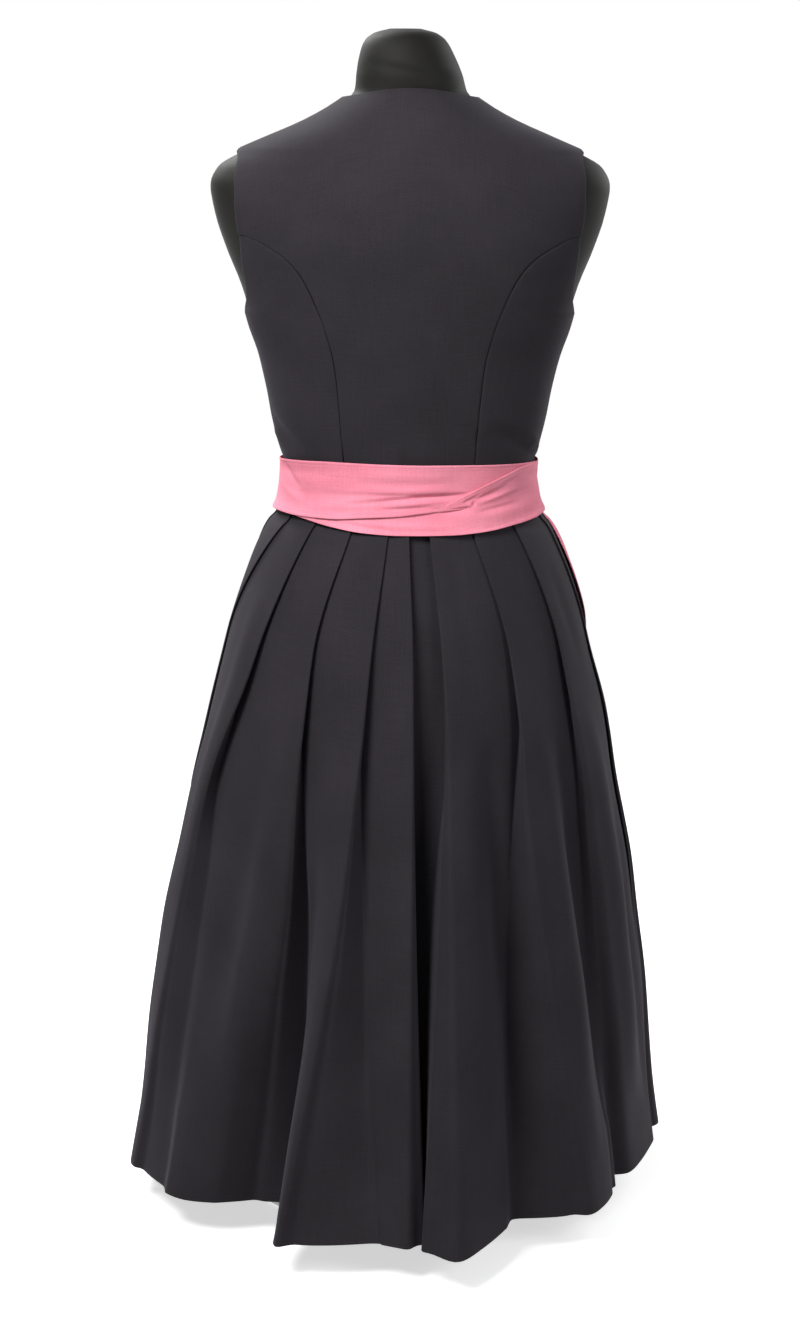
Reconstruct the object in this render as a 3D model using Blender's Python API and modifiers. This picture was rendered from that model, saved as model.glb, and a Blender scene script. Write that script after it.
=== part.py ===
"""A sleeveless dirndl with a wrapped apron sash, on a limbless dress form.

Metres, +Z up. The wearer would face -Y, so the back of the dress is at +Y. Angles are in degrees
round the dress, from centre back (0) towards the wearer's left (+X, 90) to centre front (180).
Every cloth piece is an open surface, given by the places of its grid corners, with a Solidify wall.
"""
from collections import namedtuple

import bmesh
import bpy
import numpy as np
from mathutils import Vector

# Driving sizes
CLOTH = 0.001            # wall of every cloth piece
SEAM_GAP = 0.0003        # between neighbouring pieces
LAYER_PITCH = 0.0015     # from one layer of folded cloth to the next
WAIST_SEAM = 0.730       # height of the seam between bodice and skirt
TORSO_BOTTOM = 0.470
POLE_RADIUS = 0.0125
FLANGE_RADIUS = 0.040
BASE_RADIUS = 0.170
BASE_THICKNESS = 0.008
BASE_CHAMFER = 0.003
BUTTON_RADIUS = 0.0065
BUTTON_THICKNESS = 0.003
BUTTON_COUNT = 6
FIRST_BUTTON, LAST_BUTTON = 0.790, 0.968
BUTTON_FROM_EDGE = 0.011
BUTTON_LINE_RADIUS = 0.110
BUTTON_SEAT = 0.0009     # clear of the flat facets of the curved front

CHARCOAL = (0.045, 0.043, 0.047, 1.0)
PINK = (0.86, 0.30, 0.40, 1.0)
JERSEY = (0.008, 0.008, 0.009, 1.0)
STEEL = (0.55, 0.55, 0.56, 1.0)
HORN = (0.10, 0.095, 0.10, 1.0)


class Table:
    """Rows of numbers under named columns, read smoothly and without overshoot between rows."""

    def __init__(self, columns, *rows):
        rows = sorted(rows)
        self.columns = columns.split()[1:]
        self.keys = np.array([row[0] for row in rows], float)
        self.values = np.array([row[1:] for row in rows], float)
        rise = np.diff(self.values, axis=0) / np.diff(self.keys)[:, None]
        before, after = rise[:-1], rise[1:]
        same_way = before * after > 0
        total = np.where(same_way, before + after, 1.0)
        inner = np.where(same_way, 2 * before * after / total, 0.0)
        self.slopes = np.vstack([rise[:1], inner, rise[-1:]])

    def read(self, key):
        """The row's values at each key, with a last axis of columns."""
        key = np.clip(key, self.keys[0], self.keys[-1])
        low = np.clip(np.searchsorted(self.keys, key, side="right") - 1, 0, len(self.keys) - 2)
        span = (self.keys[low + 1] - self.keys[low])[..., None]
        t = (key - self.keys[low])[..., None] / span
        start = (1 + 2 * t) * (1 - t) ** 2 * self.values[low]
        end = t * t * (3 - 2 * t) * self.values[low + 1]
        lean_in = t * (1 - t) ** 2 * span * self.slopes[low]
        lean_out = t * t * (t - 1) * span * self.slopes[low + 1]
        return start + end + lean_in + lean_out

    def column(self, name, key):
        return self.read(np.asarray(key, float))[..., self.columns.index(name)]


# The figure under the bodice, at the middle of the bodice's wall, and below it the form's hips.
FIGURE = Table(
    "height half_width back front middle squareness",
    (0.470, 0.156, 0.106, 0.098, 0.000, 2.0),
    (0.500, 0.170, 0.119, 0.108, 0.000, 2.0),
    (0.550, 0.174, 0.125, 0.113, 0.000, 2.0),
    (0.600, 0.164, 0.120, 0.110, 0.000, 2.0),
    (0.655, 0.147, 0.108, 0.101, 0.000, 2.0),
    (0.690, 0.1315, 0.0975, 0.094, 0.000, 2.0),
    (0.712, 0.1260, 0.0935, 0.092, 0.000, 2.0),
    (0.730, 0.1250, 0.0930, 0.092, 0.000, 2.1),
    (0.755, 0.1250, 0.0915, 0.093, 0.000, 2.2),
    (0.770, 0.1295, 0.0920, 0.095, 0.000, 2.2),
    (0.800, 0.1370, 0.0930, 0.099, 0.000, 2.3),
    (0.830, 0.1425, 0.0950, 0.106, 0.000, 2.3),
    (0.860, 0.1495, 0.0970, 0.115, 0.000, 2.3),
    (0.890, 0.1600, 0.1000, 0.121, 0.000, 2.3),
    (0.930, 0.1700, 0.1030, 0.114, 0.000, 2.3),
    (0.965, 0.1840, 0.1040, 0.102, 0.000, 2.3),
    (1.000, 0.1955, 0.1010, 0.090, 0.000, 2.3),
    (1.030, 0.2005, 0.0940, 0.080, 0.000, 2.2),
    (1.045, 0.1950, 0.0880, 0.075, 0.001, 2.1),
    (1.060, 0.1735, 0.0820, 0.071, 0.002, 2.0),
    (1.075, 0.1400, 0.0750, 0.068, 0.002, 2.0),
    (1.090, 0.1050, 0.0660, 0.066, 0.000, 2.0),
    (1.105, 0.0780, 0.0560, 0.065, -0.004, 2.0),
    (1.120, 0.0590, 0.0460, 0.064, -0.009, 2.0),
    (1.150, 0.0490, 0.0410, 0.061, -0.010, 2.0),
    (1.166, 0.0420, 0.0340, 0.054, -0.010, 2.0),
    (1.174, 0.0320, 0.0250, 0.045, -0.010, 2.0),
    (1.178, 0.0170, 0.0110, 0.031, -0.010, 2.0),
)
# How far the form lies inside that figure: the pleated waist needs more room than the bodice.
FORM_INSET = Table(
    "height inset",
    (0.470, 0.0095), (0.735, 0.0095), (0.780, 0.0030), (0.840, 0.0032), (0.890, 0.0050),
    (0.940, 0.0032), (1.020, 0.0035), (1.045, 0.0060), (1.060, 0.0090), (1.075, 0.0080),
    (1.095, 0.0085), (1.110, 0.0070), (1.125, 0.0030), (1.135, 0.0015), (1.180, 0.0015),
)
BUST = dict(height=0.900, angle=144.0, rise=0.019, spread_height=0.052, spread_angle=24.0)

# The skirt's envelope, at the middle of the wall where a pleat's free edge lies.
SKIRT = Table(
    "height half_width back front",
    (0.035, 0.280, 0.290, 0.250),
    (0.100, 0.271, 0.272, 0.238),
    (0.200, 0.260, 0.247, 0.219),
    (0.300, 0.244, 0.223, 0.199),
    (0.400, 0.225, 0.199, 0.178),
    (0.500, 0.204, 0.172, 0.156),
    (0.560, 0.188, 0.154, 0.142),
    (0.600, 0.178, 0.141, 0.132),
    (0.650, 0.163, 0.123, 0.119),
    (0.680, 0.1510, 0.1105, 0.107),
    (0.694, 0.1430, 0.1045, 0.100),
    (0.703, 0.1345, 0.1005, 0.097),
    (0.715, 0.1290, 0.0970, 0.094),
    (0.730, 0.1250, 0.0935, 0.092),
)
# How the pleats change down the skirt: the part of their waist depth that they keep, how far the
# inner fold lies inside the free edge, how round the folds are, and the share of the hem's form.
OPENING = Table(
    "height depth_share relief rounding hem_share",
    (0.035, -0.60, 0.0300, 0.30, 1.00),
    (0.100, -0.45, 0.0300, 0.28, 0.88),
    (0.200, -0.20, 0.0290, 0.24, 0.66),
    (0.300, 0.05, 0.0260, 0.20, 0.46),
    (0.400, 0.35, 0.0220, 0.15, 0.26),
    (0.500, 0.62, 0.0170, 0.10, 0.10),
    (0.600, 0.85, 0.0115, 0.05, 0.02),
    (0.680, 0.97, 0.0080, 0.00, 0.00),
    (0.730, 1.00, 0.0064, 0.00, 0.00),
)
# One row for each pleat, from centre back outwards. waist, hip, knee and hem: the free edge's angle
# there. depth: the fold's depth at the waist. At the hem, ridge: how far the free edge stands out of
# the envelope; valley_angle and valley: the hollow on its centre-back side; bulge: of its panel.
Pleat = namedtuple("Pleat", "waist hip knee hem depth ridge valley_angle valley bulge")
LEFT_PLEATS = (
    Pleat(0.0, -1.8, -2.0, -3.2, 0.016, 0.004, -2.5, -0.055, 0.000),
    Pleat(11.0, 14.0, 15.6, 20.3, 0.016, 0.029, 6.0, -0.009, 0.020),
    Pleat(31.0, 36.5, 35.5, 40.0, 0.024, -0.048, 30.0, -0.080, 0.025),
    Pleat(51.5, 59.5, 69.0, 70.0, 0.024, 0.012, 61.0, -0.001, 0.006),
    Pleat(69.0, 86.0, 92.0, 94.0, 0.024, 0.005, 84.0, -0.003, 0.004),
    Pleat(93.0, 108.0, 113.0, 117.0, 0.024, 0.000, 107.0, -0.018, 0.004),
    Pleat(117.0, 128.0, 134.0, 140.0, 0.022, 0.000, 129.0, -0.020, 0.003),
    Pleat(141.0, 149.0, 155.0, 161.0, 0.018, 0.000, 150.0, -0.020, 0.003),
)
RIGHT_PLEATS = (
    Pleat(11.2, 12.9, 9.5, 5.2, 0.024, 0.043, 5.9, -0.055, -0.004),
    Pleat(34.0, 39.0, 35.5, 38.0, 0.024, -0.009, 26.0, -0.045, 0.003),
    Pleat(57.0, 61.7, 61.5, 63.0, 0.024, -0.032, 57.0, -0.032, -0.002),
    Pleat(80.0, 86.0, 90.0, 95.0, 0.024, -0.010, 89.0, -0.026, 0.006),
    Pleat(104.0, 107.0, 109.0, 110.0, 0.022, 0.018, 103.0, -0.006, 0.004),
    Pleat(126.0, 130.0, 136.0, 141.0, 0.022, 0.000, 130.0, -0.020, 0.003),
    Pleat(148.0, 151.0, 156.0, 161.0, 0.018, 0.000, 150.0, -0.020, 0.003),
)
BACK_PLEATS_LEFT = 5     # the side seam is hidden in the inner fold of the next pleat
BACK_PLEATS_RIGHT = 4
PLEAT_HEIGHTS = dict(hem=0.035, knee=0.38, hip=0.58, waist=0.70)
PANEL_STEPS = (0.22, 0.50, 0.78)
SKIRT_ROWS = (0.035, 0.110, 0.210, 0.310, 0.410, 0.510, 0.590, 0.645, 0.672, 0.690, 0.704, 0.7297)

# Seams and edges of the bodice: angle at each height, for the left half.
BACK_PRINCESS = Table(
    "height angle",
    (0.730, 38.0), (0.800, 38.5), (0.850, 39.5), (0.890, 42.0), (0.920, 46.0),
    (0.945, 50.5), (0.960, 55.0), (0.971, 60.5), (0.978, 65.5), (0.982, 69.5),
)
FRONT_PRINCESS = Table(
    "height angle",
    (0.730, 148.0), (0.800, 146.0), (0.860, 144.0), (0.900, 142.0), (0.930, 136.0),
    (0.950, 127.0), (0.963, 118.0), (0.972, 111.0),
)
BACK_ARMHOLE = Table(
    "height angle",
    (0.903, 90.0), (0.908, 83.0), (0.920, 77.5), (0.947, 74.0), (0.982, 71.0), (1.020, 71.5),
    (1.045, 75.0), (1.055, 79.0), (1.0640, 90.0),
)
FRONT_ARMHOLE = Table(
    "height angle",
    (0.903, 90.0), (0.908, 98.0), (0.920, 103.0), (0.947, 106.5), (0.972, 109.0), (1.020, 109.0),
    (1.045, 106.0), (1.055, 101.0), (1.0640, 90.0),
)
FRONT_NECKLINE = Table(
    "height angle",
    (0.985, 179.0), (0.9865, 168.0), (0.992, 157.0), (1.005, 147.0), (1.030, 139.0),
    (1.055, 134.0), (1.080, 127.0), (1.098, 114.0), (1.110, 94.0),
)
NECK_SIDE = 1.1125       # height of the neckline at the shoulder seam
NAPE = 1.1215            # and at centre back
FRONT_NECK = 0.985       # and at centre front
UNDERARM = 0.903
ARMHOLE_MEETS_BACK = 0.982
ARMHOLE_MEETS_FRONT = 0.972

# The band of the wrapped ties, at the middle of the inner tie's wall, and its room over the dress.
BAND_CLEARANCE = 0.0020
TIE_PITCH = 0.0021
BAND = Table(
    "height half_width back front",
    (0.685, 0.1440, 0.1085, 0.104),
    (0.703, 0.1370, 0.1030, 0.100),
    (0.720, 0.1305, 0.0985, 0.097),
    (0.740, 0.1275, 0.0960, 0.096),
    (0.757, 0.1268, 0.0945, 0.096),
    (0.770, 0.1310, 0.0955, 0.098),
)
# The wearer's right tie starts inside at the right and passes outside at the left; the left tie
# does the reverse. They change places in the short gap where neither covers the other.
SWAP_START, SWAP_END = -30.0, -12.0
RIGHT_TIE = Table(
    "angle bottom top",
    (-100.0, 0.7095, 0.7540), (-90.0, 0.7100, 0.7540), (-75.0, 0.7110, 0.7550),
    (-60.0, 0.7120, 0.7575), (-42.0, 0.7180, 0.7580), (-34.0, 0.7240, 0.7580),
    (-30.0, 0.7272, 0.7580), (-22.0, 0.7205, 0.7580), (-12.0, 0.7160, 0.7580),
    (-6.0, 0.7142, 0.7580), (10.0, 0.7110, 0.7585), (29.0, 0.7080, 0.7600),
    (45.0, 0.7072, 0.7620), (64.0, 0.7085, 0.7630), (78.0, 0.7085, 0.7590),
    (100.0, 0.7080, 0.7570), (163.0, 0.7110, 0.7540),
)
LEFT_TIE = Table(
    "angle bottom top",
    (-179.0, 0.7110, 0.7540), (-140.0, 0.7085, 0.7570), (-96.0, 0.7080, 0.7570),
    (-80.0, 0.7050, 0.7570), (-70.0, 0.7020, 0.7568), (-58.0, 0.6990, 0.7540),
    (-48.0, 0.6965, 0.7438), (-36.0, 0.6945, 0.7325), (-30.0, 0.6935, 0.7258),
    (-22.0, 0.6925, 0.7188), (-12.0, 0.6915, 0.7146), (-6.0, 0.6910, 0.7170),
    (12.0, 0.6915, 0.7260), (33.0, 0.6950, 0.7380), (45.0, 0.7000, 0.7440),
    (53.0, 0.7040, 0.7480), (64.0, 0.7092, 0.7510), (78.0, 0.7110, 0.7530),
    (100.0, 0.7095, 0.7540),
)
WAISTBAND_END = 100.3    # the apron's waistband runs from here round the front
WAISTBAND_BOTTOM, WAISTBAND_TOP = 0.7068, 0.7540

# The apron's skirt: its edges' angles, and how far it lies over the skirt's envelope.
APRON = Table(
    "height left_edge right_edge lift wave",
    (0.075, 125.0, -125.0, 0.0230, 0.0090),
    (0.300, 121.0, -121.0, 0.0185, 0.0080),
    (0.500, 117.0, -117.5, 0.0130, 0.0055),
    (0.600, 114.0, -113.5, 0.0105, 0.0040),
    (0.640, 112.0, -109.0, 0.0095, 0.0033),
    (0.685, 108.0, -103.0, 0.0068, 0.0020),
    (0.695, 106.0, -102.0, 0.0044, 0.0009),
    (0.7060, 104.0, -101.0, 0.0024, 0.0003),
)
APRON_WAVES = 9
APRON_ROWS = (0.075, 0.180, 0.300, 0.420, 0.530, 0.610, 0.665, 0.695, 0.7060)

# The bow: where it sits, and its loops' outline (along the band, out of it, and half their height).
BOW_ANGLE = 172.0
BOW_HEIGHT = 0.735
BOW_ROOM = 0.0035        # from the outer tie's wall to the bow's own base
KNOT_HALF_WIDTH = 0.0154
KNOT_HALF_HEIGHT = 0.0219
KNOT_DEPTH = 0.0200
KNOT_BALL, KNOT_ROUNDNESS = 1.35, 0.6
KNOT_SEAT = 0.0001
LOOP = Table(
    "turn along out half_height",
    (0.00, 0.0192, 0.0120, 0.012), (0.18, 0.042, 0.0215, 0.019), (0.34, 0.070, 0.0235, 0.024),
    (0.46, 0.085, 0.0165, 0.025), (0.50, 0.088, 0.0100, 0.025), (0.54, 0.085, 0.0040, 0.025),
    (0.66, 0.070, 0.0002, 0.024), (0.82, 0.042, 0.0002, 0.019), (1.00, 0.0192, 0.0030, 0.012),
)
# Each tail's middle, width and place over the apron, from the knot down.
TAIL = Table(
    "down spread width out",
    (0.000, 0.5, 0.020, 0.0060), (0.020, 1.5, 0.030, 0.0060), (0.060, 4.5, 0.046, 0.0050),
    (0.140, 8.0, 0.056, 0.0040), (0.250, 9.5, 0.058, 0.0040), (0.360, 10.0, 0.058, 0.0040),
)
TAIL_START = 0.0263      # from the bow's middle down to the tails
TAIL_SLANT = 0.020       # how far the cut end slants
TAIL_PITCH = 0.0022      # from one tail to the one that crosses over it
TAIL_STEPS = (0.0, 0.012, 0.030, 0.055, 0.090, 0.140, 0.200, 0.260, 0.310, 0.360)


def polar(angle, radius, height, middle=0.0):
    """Points at the angles and radii round the axis, with the axis shifted along Y by middle."""
    turn = np.radians(angle)
    angle, radius, height, middle = np.broadcast_arrays(turn, radius, height, middle)
    return np.stack([radius * np.sin(turn), middle + radius * np.cos(turn), height], axis=-1)


def oval(angle, half_width, back, front, squareness=2.0):
    """Radius of a rounded section whose back and front differ in depth."""
    turn = np.radians(angle)
    depth = np.where(np.cos(turn) > 0, back, front)
    across = (np.abs(np.sin(turn)) / half_width) ** squareness
    along = (np.abs(np.cos(turn)) / depth) ** squareness
    return (across + along) ** (-1 / squareness)


def figure_radius(angle, height):
    """The figure's radius round its own middle, with the bust."""
    half_width, back, front, middle, squareness = np.moveaxis(FIGURE.read(height), -1, 0)
    radius = oval(angle, half_width, back - middle, front + middle, squareness)
    signed = (np.asarray(angle) + 180.0) % 360.0 - 180.0
    away = (np.abs(signed) - BUST["angle"]) / BUST["spread_angle"]
    above = (height - BUST["height"]) / BUST["spread_height"]
    return radius + BUST["rise"] * np.exp(-(away ** 2) - above ** 2)


def figure_point(angle, height, outset=0.0):
    """A point on the figure, moved out by outset."""
    angle, height = np.broadcast_arrays(np.asarray(angle, float), np.asarray(height, float))
    middle = FIGURE.column("middle", height)
    return polar(angle, figure_radius(angle, height) + outset, height, middle)


def skirt_radius(angle, height):
    half_width, back, front = np.moveaxis(SKIRT.read(np.asarray(height, float)), -1, 0)
    return oval(angle, half_width, back, front)


def free_edge(pleat, height):
    """Angle of a pleat's free edge at a height."""
    rows = sorted((level, getattr(pleat, name)) for name, level in PLEAT_HEIGHTS.items())
    return float(Table("height angle", *rows).column("angle", height))


def half_section(pleats, side, height):
    """Half of the skirt's section at a height, from centre back to centre front.

    Along the cloth: the centre underlay, then for each pleat its inner fold (two points), its free
    edge (two points) and the panel up to the next pleat. Returned as (angle, radius) rows, with
    the index at which each pleat's inner fold turns.
    """
    depth_share, relief, rounding, hem_share = OPENING.read(np.array(height))

    def shaped(angle, hem_angle, hem_offset, inset):
        offset = hem_share * hem_offset - (1 - hem_share) * inset
        return skirt_radius(side * angle, height) + offset

    pitch = LAYER_PITCH * (1 - 0.6 * hem_share)
    rows, turns = [], []
    for index, pleat in enumerate(pleats):
        edge = free_edge(pleat, height)
        ridge = shaped(edge, pleat.hem, pleat.ridge, 0.0)
        folded = edge + np.degrees(depth_share * pleat.depth / ridge)
        inner = (1 - hem_share) * folded + hem_share * pleat.valley_angle
        valley = shaped(inner, pleat.valley_angle, pleat.valley, relief)
        if rows:
            start_angle, start_radius = rows[-1]
            bulge = pleats[index - 1].bulge * hem_share
            for step in PANEL_STEPS:
                along = start_angle + (inner - start_angle) * step
                sagging = start_radius - skirt_radius(side * start_angle, height)
                arriving = valley - skirt_radius(side * inner, height)
                offset = sagging + (arriving - sagging) * step + bulge * np.sin(np.pi * step)
                rows.append((along, skirt_radius(side * along, height) + offset))
        rows.append((inner - rounding, valley))
        turns.append(len(rows))
        rows.append((inner + rounding, valley + pitch))
        rows.append((edge - rounding, ridge - pitch))
        rows.append((edge + rounding, ridge))
    start_angle = rows[-1][0]
    for along in np.linspace(start_angle, 180.0, 4)[1:]:
        rows.append((along, skirt_radius(side * along, height)))
    return np.array(rows) * (side, 1), turns


def skirt_section(height):
    """The whole section: right side from its seam to centre back, on to the left seam, and front."""
    left, left_turns = half_section(LEFT_PLEATS, 1, height)
    right, right_turns = half_section(RIGHT_PLEATS, -1, height)
    left_seam = left_turns[BACK_PLEATS_LEFT]
    right_seam = right_turns[BACK_PLEATS_RIGHT]
    back = np.vstack([right[:right_seam][::-1], left[:left_seam]])
    right_front = right[right_seam:-1] + (360.0, 0.0)
    front = np.vstack([left[left_seam:], right_front[::-1]])
    return back, front


def section_points(sections, heights):
    """Grid of points from one (angle, radius) section for each height."""
    rows = [polar(section[:, 0], section[:, 1], height) for section, height in zip(sections, heights)]
    return np.array(rows)


def band_radius(angle, height, level=0.0):
    """Radius of the ties' wall: level 0 is the inner tie, and 1 is the outer one."""
    half_width, back, front = np.moveaxis(BAND.read(height), -1, 0)
    own = oval(angle, half_width, back, front)
    over_skirt = skirt_radius(angle, np.minimum(height, WAIST_SEAM)) + BAND_CLEARANCE
    over_bodice = figure_radius(angle, np.maximum(height, WAIST_SEAM)) + BAND_CLEARANCE
    return np.maximum(own, np.maximum(over_skirt, over_bodice)) + level * TIE_PITCH


def tie_points(table, start, end, step, outer_side, rows=5):
    """A tie's grid. It lies outside where outer_side (1 left, -1 right) of the swap it passes."""
    count = int(abs(end - start) / step)
    angle = np.linspace(start, end, count + 1)
    bottom, top = np.moveaxis(table.read(angle), -1, 0)
    share = np.linspace(0, 1, rows)[:, None]
    height = bottom + (top - bottom) * share
    swap = np.clip((angle - SWAP_START) / (SWAP_END - SWAP_START), 0, 1)
    swap = swap * swap * (3 - 2 * swap)
    level = swap if outer_side > 0 else 1 - swap
    return polar(angle, band_radius(angle, height, level), height)


def material(name, colour, roughness, metallic=0.0):
    made = bpy.data.materials.new(name)
    made.use_nodes = True
    shader = made.node_tree.nodes["Principled BSDF"]
    shader.inputs["Base Color"].default_value = colour
    shader.inputs["Roughness"].default_value = roughness
    shader.inputs["Metallic"].default_value = metallic
    return made


def add_object(name, mesh_data, finish):
    """Puts a bmesh into a new object of the dirndl's collection."""
    mesh = bpy.data.meshes.new(name)
    mesh_data.to_mesh(mesh)
    mesh_data.free()
    mesh.materials.append(finish)
    mesh.shade_smooth()
    made = bpy.data.objects.new(name, mesh)
    bpy.data.collections["dirndl"].objects.link(made)
    return made


def grid_mesh(points):
    """A grid of faces whose corners are at points[row, column]."""
    rows, columns = points.shape[:2]
    mesh_data = bmesh.new()
    bmesh.ops.create_grid(mesh_data, x_segments=columns - 1, y_segments=rows - 1, size=0.5)
    for vertex in mesh_data.verts:
        column = round((vertex.co.x + 0.5) * (columns - 1))
        row = round((vertex.co.y + 0.5) * (rows - 1))
        vertex.co = points[row, column]
    return mesh_data


def cloth(name, points, finish, wall=CLOTH):
    """A piece of cloth: the grid of points is the middle of its wall."""
    piece = add_object(name, grid_mesh(points), finish)
    thick = piece.modifiers.new("wall", "SOLIDIFY")
    thick.thickness = wall
    thick.offset = 0.0
    thick.use_even_offset = True
    thick.use_quality_normals = True
    return piece


def tube_solid(name, points, finish):
    """A closed solid from rings of points: the rings are joined round and both ends filled."""
    closed = np.concatenate([points, points[:, :1]], axis=1)
    mesh_data = grid_mesh(closed)
    bmesh.ops.remove_doubles(mesh_data, verts=mesh_data.verts, dist=1e-6)
    bmesh.ops.holes_fill(mesh_data, edges=mesh_data.edges)
    bmesh.ops.recalc_face_normals(mesh_data, faces=mesh_data.faces)
    return add_object(name, mesh_data, finish)


def panel_points(heights, first_edge, last_edge, shares, top=None):
    """A bodice panel's grid, from its first to its last edge at each height."""
    rows = []
    for height in heights:
        first, last = first_edge(height), last_edge(height)
        angle = first + (last - first) * shares
        level = height if top is None else top(angle, height)
        rows.append(figure_point(angle, level))
    return np.array(rows)


def seam_shift(height):
    """Half the gap of a seam, in degrees round the figure."""
    return np.degrees(SEAM_GAP / float(FIGURE.column("front", height)))


def mirrored(points):
    return points * (-1, 1, 1)


def make_bodice(cotton):
    even = np.linspace(0, 1, 15)
    dense_ends = even - 0.115 * np.sin(2 * np.pi * even)
    dense_start = np.linspace(0, 1, 7) ** 1.6
    lower = [0.7303, 0.7420, 0.7540, 0.7680, 0.7850, 0.8100, 0.8400, 0.8700, 0.8950]

    def back_edge(height):
        if height < ARMHOLE_MEETS_BACK:
            return float(BACK_PRINCESS.column("angle", height)) - seam_shift(height)
        if height < BACK_ARMHOLE.keys[-1]:
            return float(BACK_ARMHOLE.column("angle", height))
        return 90.0 - seam_shift(height)

    def neck_top(angle, height):
        rise = np.clip((height - 1.06) / (NECK_SIDE - 1.06), 0, 1)
        return height + rise * (NAPE - NECK_SIDE) * np.cos(np.radians(angle)) ** 2

    armhole_back = [0.9029, 0.908, 0.920, 0.945, 0.962, 0.972, 0.978, 0.9805]
    armhole_front = [0.9029, 0.908, 0.920, 0.940, 0.955, 0.9655, 0.9705]
    shoulder = [1.005, 1.030, 1.050, 1.0640, 1.078, 1.094, 1.106]
    heights = lower + armhole_back + [ARMHOLE_MEETS_BACK + 0.0005] + shoulder + [NECK_SIDE]
    back = panel_points(heights, lambda z: -back_edge(z), back_edge, dense_ends, neck_top)
    cloth("bodice_back", back, cotton)

    def side_back_outer(height):
        if height < UNDERARM:
            return 90.0 - seam_shift(height)
        return float(BACK_ARMHOLE.column("angle", height)) - seam_shift(height)

    def side_back_inner(height):
        return float(BACK_PRINCESS.column("angle", height)) + seam_shift(height)

    heights = lower + armhole_back
    side_back = panel_points(heights, side_back_inner, side_back_outer, np.linspace(0, 1, 6))

    def side_front_outer(height):
        return float(FRONT_PRINCESS.column("angle", height)) - seam_shift(height)

    def side_front_inner(height):
        if height < UNDERARM:
            return 90.0 + seam_shift(height)
        return float(FRONT_ARMHOLE.column("angle", height)) + seam_shift(height)

    heights = lower + armhole_front
    side_front = panel_points(heights, side_front_inner, side_front_outer, np.linspace(0, 1, 7))

    def front_outer(height):
        if height < ARMHOLE_MEETS_FRONT:
            return float(FRONT_PRINCESS.column("angle", height)) + seam_shift(height)
        if height < FRONT_ARMHOLE.keys[-1]:
            return float(FRONT_ARMHOLE.column("angle", height))
        return 90.0 + seam_shift(height)

    def front_inner(height):
        if height <= FRONT_NECK:
            return 180.0 - seam_shift(height)
        return float(FRONT_NECKLINE.column("angle", height))

    neck_curve = [FRONT_NECK, 0.988, 0.994]
    heights = lower + armhole_front + [ARMHOLE_MEETS_FRONT + 0.0005] + neck_curve + shoulder + [1.1105]
    front = panel_points(heights, front_outer, front_inner, dense_start)
    for name, points in (("side_back", side_back), ("side_front", side_front), ("front", front)):
        cloth(f"bodice_{name}_left", points, cotton)
        cloth(f"bodice_{name}_right", mirrored(points), cotton)


def make_buttons(horn):
    """Buttons up the front closing, on the left front's edge."""
    angle = 180.0 - np.degrees(BUTTON_FROM_EDGE / BUTTON_LINE_RADIUS)
    for index, height in enumerate(np.linspace(FIRST_BUTTON, LAST_BUTTON, BUTTON_COUNT)):
        place = figure_point(angle, height)
        upwards = figure_point(angle, height + 0.01) - place
        sideways = figure_point(angle + 3, height) - place
        outward = np.cross(upwards, sideways)
        outward = outward / np.linalg.norm(outward)
        bpy.ops.mesh.primitive_cylinder_add(
            vertices=16, radius=BUTTON_RADIUS, depth=BUTTON_THICKNESS,
            location=place + outward * (CLOTH / 2 + BUTTON_SEAT + BUTTON_THICKNESS / 2))
        button = bpy.context.object
        button.rotation_mode = "QUATERNION"
        button.rotation_quaternion = Vector(outward).to_track_quat("Z", "Y")
        button.name = f"button_{index + 1}"
        button.data.materials.append(horn)


def make_skirt(cotton):
    sections = [skirt_section(height) for height in SKIRT_ROWS]
    cloth("skirt_back", section_points([back for back, _ in sections], SKIRT_ROWS), cotton)
    cloth("skirt_front", section_points([front for _, front in sections], SKIRT_ROWS), cotton)


def apron_points(columns):
    rows = []
    for height in APRON_ROWS:
        left, right, lift, wave = APRON.read(np.array(height))
        share = np.linspace(0, 1, columns)
        angle = left + (360 + right - left) * share
        ripple = lift + wave * np.sin(2 * np.pi * (APRON_WAVES * share + 0.1 * np.sin(7 * share)))
        rows.append(polar(angle, skirt_radius(angle, height) + ripple, height))
    return np.array(rows)


def make_apron(satin):
    cloth("apron_panel", apron_points(APRON_WAVES * 5 + 1), satin)
    angle = np.linspace(WAISTBAND_END, 360 - WAISTBAND_END, 27)
    height = np.linspace(WAISTBAND_BOTTOM, WAISTBAND_TOP, 5)[:, None]
    cloth("apron_waistband", polar(angle, band_radius(angle, height + 0 * angle), height), satin)
    cloth("apron_tie_right", tie_points(RIGHT_TIE, -100.0, 163.0, 6.0, 1), satin)
    cloth("apron_tie_left", tie_points(LEFT_TIE, -179.0, 100.0, 6.0, -1), satin)


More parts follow.
